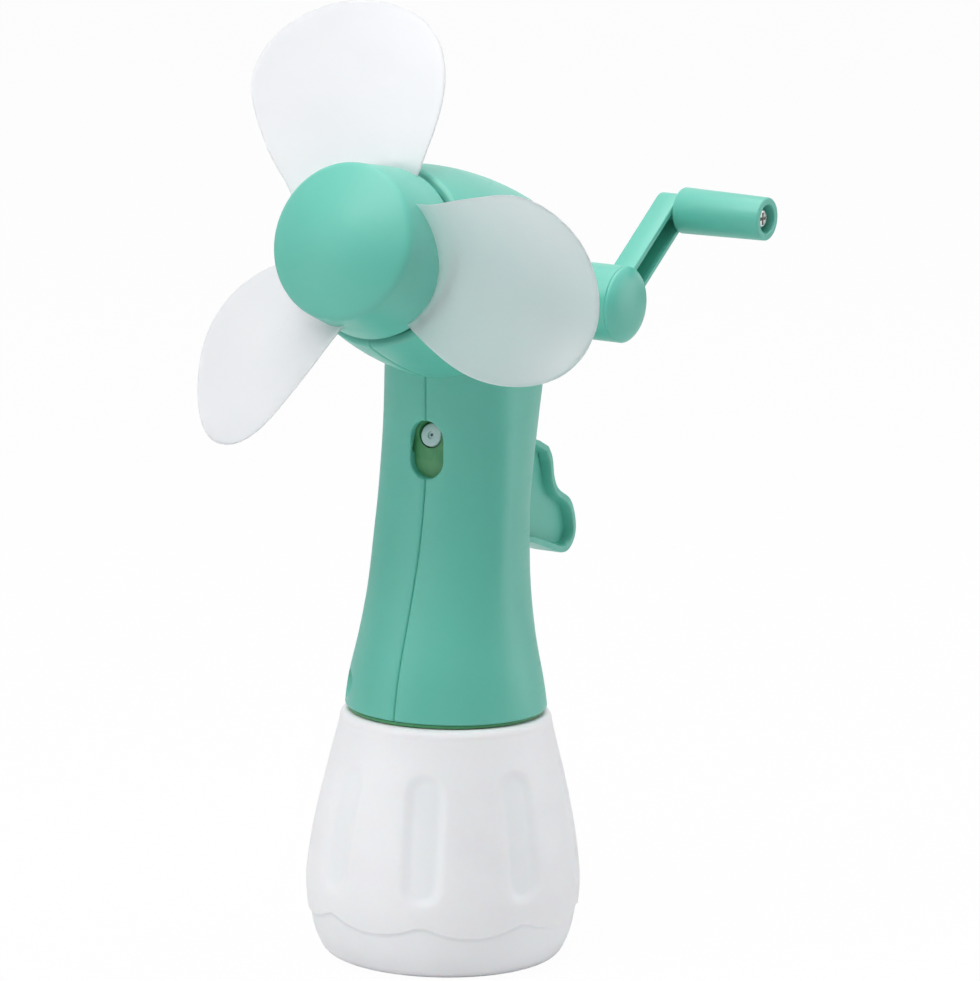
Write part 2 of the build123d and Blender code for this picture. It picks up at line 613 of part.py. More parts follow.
def drawn_in(points, inset):
    """A closed outline's points, each moved inward along its corner's middle line."""
    moved = []
    for place, (x, y) in enumerate(points):
        before = Vector(x, y) - Vector(*points[place - 1])
        after = Vector(*points[(place + 1) % len(points)]) - Vector(x, y)
        way = before.normalized() + after.normalized()
        inward = Vector(way.Y, -way.X).normalized()
        half_turn = math.radians(before.get_angle(after)) / 2
        shift = inward * (inset / math.cos(half_turn))
        moved.append((x + shift.X, y + shift.Y))
    return moved


def trigger_shape(inset, low, high):
    """The trigger's side outline drawn in by an amount, between two widths."""
    points = [(along, side_up * up) for along, up in drawn_in(TRIGGER_OUTLINE, inset)]
    with BuildPart() as part:
        with BuildSketch(SIDE.offset(low)):
            with BuildLine():
                Polyline(*points[:3])
                Spline(*points[2:11])
                Polyline(*points[10:], points[0])
            make_face()
        extrude(amount=high - low)
    return part.part


trigger = trigger_shape(0, -TRIGGER_HALF, TRIGGER_HALF)
for low, high in ((TRIGGER_WEB, TRIGGER_HALF + 1), (-TRIGGER_HALF - 1, -TRIGGER_WEB)):
    trigger = trigger - trigger_shape(TRIGGER_RIM, low, high)
flange_height = TRIGGER_TOP - TRIGGER_BOTTOM
with BuildPart() as flange:
    with BuildSketch(PUMP.offset(TRIGGER_FLANGE[0])):
        with Locations((0, -(TRIGGER_TOP - 2.8 + TRIGGER_BOTTOM) / 2)):
            Rectangle(2 * TRIGGER_HALF + 2.0, flange_height - 2.8)
    extrude(amount=TRIGGER_FLANGE[1] - TRIGGER_FLANGE[0])
    with BuildSketch(PUMP.offset(TRIGGER_FLANGE[1])):
        with Locations((0, -(TRIGGER_TOP + TRIGGER_BOTTOM) / 2)):
            Rectangle(2 * TRIGGER_HALF, flange_height)
    extrude(amount=34.5 - TRIGGER_FLANGE[1])
trigger = trigger + flange.part - rod(PUMP, ROD_RADIUS, 20, TRIGGER_FLANGE[0] + 1.5)
export(trigger, "trigger")

# ---- collar, gasket, dip tube and bottle -----------------------------------
collar = rod(Plane.XY, COLLAR_FLANGE_RADIUS, 59.5, HANDLE_BOTTOM)
collar = collar + rod(Plane.XY, 21.3, HANDLE_BOTTOM, 61.6)
collar = collar + rod(Plane.XY, COLLAR_SKIRT_RADIUS, 59.5, 74.5)
collar = collar - rod(Plane.XY, NECK_RADIUS + RUN, 50, NECK_TOP + GASKET)
collar = collar - rod(Plane.XY, 3.2, 60, 80).moved(Pos(0, COLUMN_Y, 0))
export(collar, "neck_collar")
ring("gasket", Plane.XY, 5.6, NECK_RADIUS, NECK_TOP, NECK_TOP + GASKET)
ring("dip_tube", Plane(origin=(0, COLUMN_Y, 0)), 1.2, 1.9, 5.0, 76.5)

BOTTLE_PROFILE = (
    (24.2, 0.0), (27.6, 1.2), (29.9, 4.0), (31.3, 8.0), (32.1, 12.5), (32.5, 17.5), (32.3, 22.0),
    (31.7, 27.0), (30.9, 32.0), (29.9, 37.0), (28.8, 42.0), (27.6, 47.0), (26.3, 52.0), (25.1, 57.0),
)


def bottle_form(shrink):
    """The bottle's body as a solid of revolution, drawn in by an amount."""
    points = [(radius - shrink, height + 0.0) for radius, height in BOTTLE_PROFILE]
    points[0] = (points[0][0], shrink)
    points[1] = (points[1][0] - shrink * 0.3, 1.2 + shrink * 0.8)
    top = SHOULDER_Z - shrink
    with BuildPart() as part:
        with BuildSketch(Plane.XZ):
            with BuildLine():
                Polyline((0, top), (0, shrink), points[0])
                Spline(*points)
                ThreePointArc(points[-1], (24.7 - shrink, 58.6 - shrink), (23.6 - shrink, top))
                Line((23.6 - shrink, top), (0, top))
            make_face()
        revolve(axis=Axis.Z)
    return part.part


body = bottle_form(0)
skin = body - bottle_form(0.8)
dimples = []
for number in range(8):
    angle = 22.5 + 45 * number
    with BuildPart() as slot:
        with BuildSketch(Plane(origin=(0, 0, 34.0), x_dir=(0, 0, 1), z_dir=(1, 0, 0))):
            SlotOverall(31.0, 10.4)
        extrude(amount=40)
    dimples.append(Rot(0, 0, angle) * slot.part)
bottle = body + rod(Plane.XY, NECK_RADIUS, 50, NECK_TOP)
for dimple in dimples:
    bottle = bottle - (skin & dimple)
bottle = bottle - bottle_form(BOTTLE_WALL + 0.8) - rod(Plane.XY, NECK_BORE, 50, 80)
export(bottle, "bottle")
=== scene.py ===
"""Hand crank fan with a spray pump, standing on its refill bottle."""
import math

import bpy
import numpy as np
from mathutils import Matrix, Vector


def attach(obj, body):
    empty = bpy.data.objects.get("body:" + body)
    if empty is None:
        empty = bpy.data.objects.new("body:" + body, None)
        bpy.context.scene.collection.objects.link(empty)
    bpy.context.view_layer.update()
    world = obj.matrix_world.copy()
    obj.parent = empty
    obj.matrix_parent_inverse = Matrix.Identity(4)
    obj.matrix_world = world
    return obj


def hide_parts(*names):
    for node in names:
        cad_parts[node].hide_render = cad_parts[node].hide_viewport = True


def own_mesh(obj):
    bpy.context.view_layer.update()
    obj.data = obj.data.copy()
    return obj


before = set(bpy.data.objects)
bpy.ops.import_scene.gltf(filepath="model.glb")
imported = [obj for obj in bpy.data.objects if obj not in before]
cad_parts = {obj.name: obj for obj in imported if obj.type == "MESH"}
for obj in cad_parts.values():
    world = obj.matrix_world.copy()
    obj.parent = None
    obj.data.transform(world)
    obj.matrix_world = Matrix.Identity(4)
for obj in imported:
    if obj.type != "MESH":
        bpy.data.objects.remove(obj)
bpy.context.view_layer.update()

# ---- driving sizes, in millimetres -------------------------------------------
MM = 0.001
TILT = math.radians(16.5)
FORWARD = Vector((0, -math.cos(TILT), math.sin(TILT)))
RISE = Vector((0, math.sin(TILT), math.cos(TILT)))
SIDE = Vector((1, 0, 0))
FAN_CENTRE = Vector((0, -33.2, 172.3))
NOZZLE_CENTRE = Vector((0, -9.0, 126.4))
CRANK_BACK = 52.0            # crank's axis, behind the rotor's rear rim
CRANK_CENTRE = FAN_CENTRE - FORWARD * CRANK_BACK
ARM_ANGLE = math.radians(35.2)
ARM_DIR = Vector((0, math.cos(ARM_ANGLE), math.sin(ARM_ANGLE)))
ARM_CROSS = Vector((0, -math.sin(ARM_ANGLE), math.cos(ARM_ANGLE)))
ARM_LENGTH = 33.0
ARM_WIDTH = 7.5
ARM_WALL = 1.2
ARM_INNER = 30.3             # the arm's inner face, from the centre plane
CRANK_HUB = (24.2, 36.2)     # its two ends, from the centre plane
CRANK_HUB_RADIUS = 9.0
GRIP_CENTRE = CRANK_CENTRE + ARM_DIR * ARM_LENGTH
GRIP_ENDS = (36.4, 59.2)
CRANK_SHAFT_RADIUS = 2.5

EGG_BACK = 31.7              # widest place of the head, behind the rotor's rear rim
EGG_HALF_LENGTH = 59.2
EGG_RADIUS = 24.5
HEAD_FRONT = -2.5            # the head's front rim, along the fan's axis
WALL = 2.0
HANDLE_BOTTOM = 60.3
# handle sections: height, half width, front, rear, where it is widest
HANDLE = (
    (HANDLE_BOTTOM, 24.1, -23.6, 23.6, 0.0),
    (66.0, 23.4, -22.8, 22.8, -0.5),
    (74.5, 21.5, -20.8, 22.0, -1.0),
    (82.0, 19.9, -18.4, 22.5, -2.0),
    (90.0, 18.8, -16.0, 22.7, -2.6),
    (100.0, 18.2, -13.4, 22.7, -2.6),
    (108.0, 17.8, -12.1, 23.1, -2.0),
    (118.0, 17.6, -11.2, 24.9, -1.0),
    (128.0, 17.4, -11.5, 27.5, 0.0),
    (138.0, 17.3, -11.9, 30.5, 0.3),
    (150.0, 17.3, -12.5, 33.0, 1.0),
)
# housing screws, as (Y, Z) of each axis along X
SCREWS = ((-14.3, 65.6), (14.0, 66.5), (-1.0, 139.5), (43.0, 150.2), (-15.5, 182.0))
SCREW_HEAD_X = (-12.0, -12.0, -11.0, -6.5, -9.5)
SCREW_TIP_X = 7.0
SCREW_HEAD_RADIUS = 2.7
SCREW_POST_RADIUS = 3.8
HEAD_WALLS = ((-6.5, -4.5), (-28.0, -25.0))    # the bushes' two walls, along the fan's axis
BUSH_RADIUS = 3.5
CRANK_BUSH_RADIUS = 4.5
PUMP_RADIUS = 6.3
COLUMN_Y = 0.8
COLUMN_RADIUS = 4.4
WINDOW = (8.8, 13.8, 123.1)  # width, height, height of its middle
# blade outline in its flat plane: outward from the axis, and across
BLADE_OUTLINE = (
    (53.1, 5.3), (50.9, 13.6), (44.1, 22.2), (29.4, 23.4), (17.1, 17.0), (5.8, 6.5),
    (9.2, -11.2), (17.2, -12.5), (23.6, -13.9), (33.0, -15.6), (42.8, -15.4), (51.3, -6.9),
)
# each soft blade's own sag at its tip: sideways, outward, twist and lift
BLADE_SET = ((3.1, 8.4, 1.6, 2.0), (-7.8, 8.0, -1.7, -5.2), (4.0, 8.1, 1.0, -0.4))
BLADE_MID_ANGLE = 95.5
BLADE_THICKNESS = 0.9
BLADE_ROOT_RADIUS = 15.4
# trigger outline: back from the nozzle, and up
TRIGGER_OUTLINE = (
    (34.0, 5.3), (44.0, 5.3), (48.5, 4.6), (51.3, 2.2), (53.4, -1.6), (56.2, -4.4), (62.6, -6.1),
    (66.4, -9.5), (68.2, -14.4), (66.3, -18.3), (59.0, -19.4), (49.6, -19.0), (34.0, -19.0),
)
# bottle side: radius and height
BOTTLE_PROFILE = (
    (24.2, 0.0), (27.6, 1.2), (29.9, 4.0), (31.3, 8.0), (32.1, 12.5), (32.5, 17.5), (32.3, 22.0),
    (31.7, 27.0), (30.9, 32.0), (29.9, 37.0), (28.8, 42.0), (27.6, 47.0), (26.3, 52.0), (25.1, 57.0),
)
SHOULDER = 59.3              # height of the bottle's shoulder
NECK_RADIUS = 8.3
NECK_BORE = 6.4
NECK_TOP = 71.0
BOTTLE_WALL = 1.8
COLLAR_SKIRT_RADIUS = 10.0
COLLAR_FLANGE_RADIUS = 23.3


# ---- curves and places -------------------------------------------------------
def place(origin, across, up, along):
    """A place to build in: three directions at an origin, all in millimetres."""
    return Matrix((across, up, along)).transposed().to_4x4(), origin


def put(spot, x, y, z):
    """The point x, y, z of a place."""
    turn, origin = spot
    return turn.to_3x3() @ Vector((x, y, z)) + origin


WORLD = place(Vector((0, 0, 0)), SIDE, Vector((0, 1, 0)), Vector((0, 0, 1)))
FAN = place(FAN_CENTRE, SIDE, RISE, FORWARD)
PUMP = place(NOZZLE_CENTRE, SIDE, -RISE, -FORWARD)
CRANK = place(CRANK_CENTRE, Vector((0, 1, 0)), Vector((0, 0, 1)), SIDE)
ARM = place(CRANK_CENTRE, ARM_DIR, ARM_CROSS, SIDE)
GRIP = place(GRIP_CENTRE, Vector((0, 1, 0)), Vector((0, 0, 1)), SIDE)
TRIGGER = place(NOZZLE_CENTRE, -FORWARD, RISE, -SIDE)
COLUMN = place(Vector((0, COLUMN_Y, 0)), SIDE, Vector((0, 1, 0)), Vector((0, 0, 1)))


def smoothstep(low, high, value):
    """Nought below low, one above high, and an even slope between."""
    part = min(max((value - low) / (high - low), 0.0), 1.0)
    return part * part * (3 - 2 * part)


def curve_through(points, steps, closed=False):
    """A smooth curve through points, with a number of steps between each two."""
    knots = np.array(points, dtype=float)
    if closed:
        knots = np.vstack([knots, knots[:1]])
    spans = np.linalg.norm(np.diff(knots, axis=0), axis=1)
    slopes = np.diff(knots, axis=0) / spans[:, None]
    count = len(knots)
    grid = np.zeros((count, count))
    change = np.zeros_like(knots)
    for i in range(1, count - 1):
        grid[i, i - 1:i + 2] = spans[i - 1], 2 * (spans[i - 1] + spans[i]), spans[i]
        change[i] = 6 * (slopes[i] - slopes[i - 1])
    if closed:
        grid[0, 0], grid[0, -1] = 1, -1
        grid[-1, 0], grid[-1, 1] = 2 * spans[0], spans[0]
        grid[-1, -2], grid[-1, -1] = spans[-1], 2 * spans[-1]
        change[-1] = 6 * (slopes[0] - slopes[-1])
    else:
        grid[0, 0] = grid[-1, -1] = 1
    bends = np.linalg.solve(grid, change)
    found = []
    for i, span in enumerate(spans):
        for step in range(steps):
            b = step / steps
            a = 1 - b
            curl = ((a ** 3 - a) * bends[i] + (b ** 3 - b) * bends[i + 1]) * span ** 2 / 6
            found.append(Vector(a * knots[i] + b * knots[i + 1] + curl))
    if not closed:
        found.append(Vector(knots[-1]))
    return found


def rounded(corners, steps=5):
    """A line of (x, y, radius) corners, each one rounded off by its radius."""
    found = []
    count = len(corners)
    for i, corner in enumerate(corners):
        here = Vector(corner[:2])
        radius = corner[2] if len(corner) > 2 else 0
        if radius == 0 or i in (0, count - 1):
            found.append(here)
            continue
        back = (Vector(corners[i - 1][:2]) - here).normalized()
        ahead = (Vector(corners[i + 1][:2]) - here).normalized()
        half = back.angle(ahead) / 2
        reach = radius / math.tan(half)
        middle = here + (back + ahead).normalized() * (radius / math.sin(half))
        start = here + back * reach - middle
        end = here + ahead * reach - middle
        turn = start.angle_signed(end)
        for step in range(steps + 1):
            angle = -turn * step / steps
            spun = Vector((
                start.x * math.cos(angle) - start.y * math.sin(angle),
                start.x * math.sin(angle) + start.y * math.cos(angle),
            ))
            found.append(middle + spun)
    return found


# ---- mesh helpers ------------------------------------------------------------
def mesh_piece(name, points, faces):
    """A closed mesh object from points in millimetres, with its faces turned outward."""
    mesh = bpy.data.meshes.new(name)
    mesh.from_pydata([Vector(p) * MM for p in points], [], faces)
    piece = bpy.data.objects.new(name, mesh)
    bpy.context.scene.collection.objects.link(piece)
    volume = 0.0
    mesh.calc_loop_triangles()
    for triangle in mesh.loop_triangles:
        a, b, c = (mesh.vertices[k].co for k in triangle.vertices)
        volume += a.dot(b.cross(c))
    if volume < 0:
        mesh.flip_normals()
    return piece


def rings_piece(name, rings, joined=False):
    """A mesh over equal closed rings of points; a ring of one point is a tip."""
    points = []
    starts = []
    for ring in rings:
        starts.append(len(points))
        points.extend(ring)
    faces = []
    pairs = list(zip(range(len(rings) - 1), range(1, len(rings))))
    if joined:
        pairs.append((len(rings) - 1, 0))
    for low, high in pairs:
        a, b = starts[low], starts[high]
        count = max(len(rings[low]), len(rings[high]))
        for k in range(count):
            nxt = (k + 1) % count
            if len(rings[low]) == 1:
                faces.append((a, b + nxt, b + k))
            elif len(rings[high]) == 1:
                faces.append((a + k, a + nxt, b))
            else:
                faces.append((a + k, a + nxt, b + nxt, b + k))
    if not joined and len(rings[0]) > 1:
        faces.append(tuple(range(len(rings[0])))[::-1])
    if not joined and len(rings[-1]) > 1:
        last = starts[-1]
        faces.append(tuple(last + k for k in range(len(rings[-1]))))
    return mesh_piece(name, points, faces)


def turned(name, profile, spot, around=96):
    """A solid of revolution about a place's third direction, from (radius, height)."""
    rings = []
    for radius, height in profile:
        if radius < 1e-6:
            rings.append([put(spot, 0, 0, height)])
            continue
        ring = []
        for k in range(around):
            angle = 2 * math.pi * k / around
            ring.append(put(spot, radius * math.cos(angle), radius * math.sin(angle), height))
        rings.append(ring)
    joined = len(rings[0]) > 1 and len(rings[-1]) > 1
    return rings_piece(name, rings, joined=joined)


def drill(name, radius, low, high, spot, around=48):
    """A plain round cutter."""
    return turned(name, [(0, low), (radius, low), (radius, high), (0, high)], spot, around)


def block(name, outline, spot, low, high):
    """A closed outline pushed along a place's third direction."""
    rings = [[put(spot, p[0], p[1], level) for p in outline] for level in (low, high)]
    return rings_piece(name, rings)


def stadium(length, width, y=0.0, steps=16):
    """A round-ended slot outline, its length along y."""
    radius = width / 2
    reach = length / 2 - radius
    points = []
    for end, start in ((reach, 0.0), (-reach, math.pi)):
        for step in range(steps + 1):
            angle = start + math.pi * step / steps
            points.append((radius * math.cos(angle), y + end + radius * math.sin(angle)))
    return points


def bar(low_x, high_x, low_y, high_y):
    """A rectangle's outline."""
    return [(low_x, low_y), (high_x, low_y), (high_x, high_y), (low_x, high_y)]


def settle(piece):
    """Makes a piece's modifiers part of its mesh."""
    graph = bpy.context.evaluated_depsgraph_get()
    graph.update()
    mesh = bpy.data.meshes.new_from_object(piece.evaluated_get(graph))
    piece.modifiers.clear()
    old = piece.data
    piece.data = mesh
    bpy.data.meshes.remove(old)
    mesh.name = piece.name


def combine(piece, operation, *tools):
    """Joins, cuts or trims a piece with other closed meshes, which are used up."""
    for tool in tools:
        step = piece.modifiers.new("combine", "BOOLEAN")
        step.operation = operation
        step.object = tool
        step.solver = "MANIFOLD"
        settle(piece)
        bpy.data.objects.remove(tool)
    return piece


def joined_pieces(name, pieces):
    """Several closed meshes as one object."""
    points = []
    faces = []
    for piece in pieces:
        start = len(points)
        points.extend(v.co / MM for v in piece.data.vertices)
        faces.extend(tuple(start + k for k in face.vertices) for face in piece.data.polygons)
        bpy.data.objects.remove(piece)
    return mesh_piece(name, points, faces)


def soften(piece, width, angle=35.0, segments=3):
    """Rounds every sharp edge of a piece."""
    step = piece.modifiers.new("soften", "BEVEL")
    step.width = width * MM
    step.segments = segments
    step.limit_method = "ANGLE"
    step.angle_limit = math.radians(angle)
    step.harden_normals = False
    settle(piece)
    return piece


def finish_piece(piece, material, body, node, angle=40.0):
    """Smooth shading, material, and the body and node the piece stands for."""
    mesh = piece.data
    for face in mesh.polygons:
        face.use_smooth = True
    mesh.set_sharp_from_angle(angle=math.radians(angle))
    mesh.materials.clear()
    mesh.materials.append(material)
    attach(piece, body)
    if node:
        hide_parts(node)
    return piece


# ---- shader groups -----------------------------------------------------------
def new_group(name, inputs, outputs):
    """An empty node group with named sockets: (name, kind, value) each."""
    group = bpy.data.node_groups.new(name, "ShaderNodeTree")
    for label, kind, value in inputs:
        socket = group.interface.new_socket(label, in_out="INPUT", socket_type=kind)
        socket.default_value = value
    for label, kind in outputs:
        group.interface.new_socket(label, in_out="OUTPUT", socket_type=kind)
    return group, group.nodes.new("NodeGroupInput"), group.nodes.new("NodeGroupOutput")


def node(tree, kind, **settings):
    made = tree.nodes.new(kind)
    for key, value in settings.items():
        setattr(made, key, value)
    return made


def math_node(tree, operation, a, b=None, clamp=False):
    made = node(tree, "ShaderNodeMath", operation=operation, use_clamp=clamp)
    for socket, value in zip(made.inputs, (a, b)):
        if value is None:
            continue
        if isinstance(value, (int, float)):
            socket.default_value = value
        else:
            tree.links.new(value, socket)
    return made.outputs[0]


def blend_colour(tree, amount, first, second):
    made = node(tree, "ShaderNodeMix", data_type="RGBA")
    tree.links.new(amount, made.inputs[0])
    tree.links.new(first, made.inputs[6])
    tree.links.new(second, made.inputs[7])
    return made.outputs[2]


def noise(tree, scale, detail=3.0, stretch=None):
    """Noise over the piece's own coordinates, scale in features per metre."""
    where = node(tree, "ShaderNodeTexCoord").outputs["Object"]
    if stretch:
        mapping = node(tree, "ShaderNodeMapping")
        mapping.inputs["Scale"].default_value = stretch
        tree.links.new(where, mapping.inputs["Vector"])
        where = mapping.outputs["Vector"]
    made = node(tree, "ShaderNodeTexNoise")
    made.inputs["Detail"].default_value = detail
    tree.links.new(where, made.inputs["Vector"])
    made.inputs["Scale"].default_value = scale
    return made.outputs["Fac"]


def spread(tree, value, low, high, to_low=0.0, to_high=1.0):
    made = node(tree, "ShaderNodeMapRange")
    tree.links.new(value, made.inputs["Value"])
    for label, number in (("From Min", low), ("From Max", high), ("To Min", to_low), ("To Max", to_high)):
        made.inputs[label].default_value = number
    return made.outputs["Result"]


def edge_mask(tree, low=0.52, high=0.60):
    """High where the surface turns over an edge."""
    return spread(tree, node(tree, "ShaderNodeNewGeometry").outputs["Pointiness"], low, high)


def raise_surface(tree, height, strength, distance, below=None):
    made = node(tree, "ShaderNodeBump")
    made.inputs["Distance"].default_value = distance
    if isinstance(strength, (int, float)):
        made.inputs["Strength"].default_value = strength
    else:
        tree.links.new(strength, made.inputs["Strength"])
    tree.links.new(height, made.inputs["Height"])
    if below is not None:
        tree.links.new(below, made.inputs["Normal"])
    return made.outputs["Normal"]


def moulded_group():
    """Injection-moulded plastic: cloudy colour, rubbed edges, hair scratches, orange peel."""
    group, given, out = new_group(
        "moulded_surface",
        (
            ("Colour", "NodeSocketColor", (0.5, 0.5, 0.5, 1)),
            ("Edge Colour", "NodeSocketColor", (0.6, 0.6, 0.6, 1)),
            ("Wear", "NodeSocketFloat", 0.5),
            ("Roughness", "NodeSocketFloat", 0.3),
            ("Peel", "NodeSocketFloat", 0.2),
        ),
        (("Colour", "NodeSocketColor"), ("Roughness", "NodeSocketFloat"), ("Normal", "NodeSocketVector")),
    )
    link = group.links.new
    cloud = noise(group, 42.0, 4.0)
    darker = node(group, "ShaderNodeHueSaturation")
    link(spread(group, cloud, 0.3, 0.7, 0.965, 1.03), darker.inputs["Value"])
    link(given.outputs["Colour"], darker.inputs["Color"])
    rub = math_node(group, "MULTIPLY", edge_mask(group), spread(group, noise(group, 260.0), 0.4, 0.62))
    rub = math_node(group, "MULTIPLY", rub, given.outputs["Wear"], clamp=True)
    shade = blend_colour(group, rub, darker.outputs["Color"], given.outputs["Edge Colour"])
    link(shade, out.inputs["Colour"])
    hair = spread(group, noise(group, 160.0, 6.0, (0.35, 0.35, 7.0)), 0.60, 0.72)
    smear = spread(group, noise(group, 75.0, 5.0), 0.35, 0.7, -0.03, 0.07)
    gloss = math_node(group, "ADD", given.outputs["Roughness"], smear)
    gloss = math_node(group, "ADD", gloss, math_node(group, "MULTIPLY", hair, 0.10), clamp=True)
    link(gloss, out.inputs["Roughness"])
    peel = raise_surface(group, noise(group, 900.0, 2.0), given.outputs["Peel"], 0.00004)
    flow = raise_surface(group, noise(group, 70.0, 1.0), 0.12, 0.0006, peel)
    link(flow, out.inputs["Normal"])
    return group


def frosted_group():
    """Soft frosted sheet: a fine cloudy texture with faint bend lines."""
    group, given, out = new_group(
        "frosted_surface",
        (
            ("Colour", "NodeSocketColor", (0.9, 0.9, 0.9, 1)),
            ("Thin Colour", "NodeSocketColor", (0.9, 0.9, 0.9, 1)),
            ("Roughness", "NodeSocketFloat", 0.5),
        ),
        (("Colour", "NodeSocketColor"), ("Roughness", "NodeSocketFloat"), ("Normal", "NodeSocketVector")),
    )
    link = group.links.new
    cloud = spread(group, noise(group, 55.0, 5.0), 0.3, 0.7)
    shade = blend_colour(group, cloud, given.outputs["Colour"], given.outputs["Thin Colour"])
    link(shade, out.inputs["Colour"])
    grain = noise(group, 2600.0, 2.0)
    uneven = spread(group, grain, 0.3, 0.7, -0.06, 0.06)
    link(math_node(group, "ADD", given.outputs["Roughness"], uneven, clamp=True), out.inputs["Roughness"])
    fine = raise_surface(group, grain, 0.25, 0.00003)
    link(raise_surface(group, noise(group, 45.0, 2.0), 0.10, 0.0008, fine), out.inputs["Normal"])
    return group


def metal_group():
    """Turned metal: fine tool lines and dull spots."""
    group, given, out = new_group(
        "turned_surface",
        (
            ("Colour", "NodeSocketColor", (0.7, 0.7, 0.7, 1)),
            ("Dull Colour", "NodeSocketColor", (0.4, 0.4, 0.4, 1)),
            ("Roughness", "NodeSocketFloat", 0.3),
        ),
        (("Colour", "NodeSocketColor"), ("Roughness", "NodeSocketFloat"), ("Normal", "NodeSocketVector")),
    )
    link = group.links.new
    spot = spread(group, noise(group, 420.0, 5.0), 0.45, 0.72)
    shade = blend_colour(group, spot, given.outputs["Colour"], given.outputs["Dull Colour"])
    link(shade, out.inputs["Colour"])
    lines = noise(group, 1500.0, 2.0, (4.0, 0.4, 0.4))
    uneven = spread(group, lines, 0.3, 0.7, -0.08, 0.12)
    link(math_node(group, "ADD", given.outputs["Roughness"], uneven, clamp=True), out.inputs["Roughness"])
    link(raise_surface(group, lines, 0.3, 0.00002), out.inputs["Normal"])
    return group


MOULDED = moulded_group()
FROSTED = frosted_group()
METAL = metal_group()


def material_with(name, group, values, plain):
    """A material whose Principled shader takes its varying inputs from a group."""
    made = bpy.data.materials.new(name)
    made.use_nodes = True
    tree = made.node_tree
    shader = tree.nodes["Principled BSDF"]
    detail = node(tree, "ShaderNodeGroup", node_tree=group)
    for key, value in values.items():
        detail.inputs[key].default_value = value
    tree.links.new(detail.outputs["Colour"], shader.inputs["Base Color"])
    tree.links.new(detail.outputs["Roughness"], shader.inputs["Roughness"])
    tree.links.new(detail.outputs["Normal"], shader.inputs["Normal"])
    for key, value in plain.items():
        shader.inputs[key].default_value = value
    return made


def moulded(name, colour, edge, roughness, wear=0.5, peel=0.25, **plain):
    values = {
        "Colour": colour + (1,), "Edge Colour": edge + (1,), "Roughness": roughness,
        "Wear": wear, "Peel": peel,
    }
    return material_with(name, MOULDED, values, plain)


def metal(name, colour, dull, roughness, **plain):
    values = {"Colour": colour + (1,), "Dull Colour": dull + (1,), "Roughness": roughness}
    return material_with(name, METAL, values, dict(plain, Metallic=1.0))


MINT = (0.12, 0.515, 0.41)
MINT_EDGE = (0.36, 0.76, 0.65)
mint_shell = moulded("mint_shell", MINT, MINT_EDGE, 0.36, wear=0.0,
                     **{"Subsurface Weight": 0.15, "Subsurface Scale": 0.003, "IOR": 1.55})
mint_hub = moulded("mint_hub", MINT, MINT_EDGE, 0.38, wear=0.2, **{"IOR": 1.55})
mint_crank = moulded("mint_crank", MINT, MINT_EDGE, 0.32, wear=0.3, **{"IOR": 1.55})
bottle_white = moulded("bottle_white", (0.945, 0.925, 0.95), (0.96, 0.95, 0.965), 0.42, wear=0.3, peel=0.15,
                       **{"Subsurface Weight": 0.15, "Subsurface Scale": 0.004, "IOR": 1.48})
pump_green = moulded("pump_green", (0.05, 0.26, 0.10), (0.12, 0.36, 0.16), 0.40, **{"IOR": 1.5})
gear_nylon = moulded("gear_nylon", (0.74, 0.73, 0.66), (0.84, 0.83, 0.78), 0.42)
nozzle_grey = moulded("nozzle_grey", (0.47, 0.64, 0.63), (0.58, 0.72, 0.70), 0.35)
tube_clear = moulded("tube_clear", (0.70, 0.74, 0.75), (0.80, 0.83, 0.84), 0.3)
seal_rubber = moulded("seal_rubber", (0.022, 0.022, 0.022), (0.06, 0.06, 0.06), 0.65, peel=0.6)
blade_frost = material_with(
    "soft_blade", FROSTED,
    {"Colour": (0.89, 0.90, 0.92, 1), "Thin Colour": (0.93, 0.935, 0.95, 1), "Roughness": 0.46},
    {"Transmission Weight": 0.66, "IOR": 1.33},
)
screw_steel = metal("screw_steel", (0.72, 0.71, 0.69), (0.42, 0.41, 0.39), 0.28)
shaft_steel = metal("shaft_steel", (0.60, 0.61, 0.62), (0.35, 0.36, 0.37), 0.25)
spring_steel = metal("spring_steel", (0.52, 0.53, 0.55), (0.30, 0.31, 0.33), 0.30)
ball_steel = metal("ball_steel", (0.70, 0.70, 0.71), (0.52, 0.52, 0.53), 0.12)
bush_brass = metal("bush_brass", (0.62, 0.45, 0.18), (0.36, 0.25, 0.10), 0.35)


# ---- housing -----------------------------------------------------------------
# depth of the seam's groove at a distance from the centre plane, in millimetres
GROOVE = ((0.0, 0.42), (0.10, 0.30), (0.22, 0.10), (0.42, 0.0))
RIM_ROUND = 1.2
EDGE_ROUND = 0.7


def seam_turns(radius, count=96):
    """Angles round a section from the front or top seam, close together at both seams."""
    unit = min(1.0 / max(radius, 0.1), 0.25)
    near = [x * unit for x, depth in GROOVE]
    turns = []
    for half in (0.0, math.pi):
        turns.extend(half + a for a in near)
        first = near[-1]
        for k in range(1, count // 2):
            turns.append(half + first + (math.pi - 2 * first) * k / (count // 2))
        turns.extend(half + math.pi - a for a in reversed(near[1:]))
    return turns


def seam_depth(turn, radius):
    """How far the seam's groove dips at an angle."""
    unit = min(1.0 / max(radius, 0.1), 0.25)
    away = min(turn % math.pi, math.pi - turn % math.pi) / unit
    for (x0, d0), (x1, d1) in zip(GROOVE, GROOVE[1:]):
        if away <= x1 + 1e-6:
            return (d0 + (d1 - d0) * (away - x0) / (x1 - x0)) * min(1.0, radius / 6.0)
    return 0.0


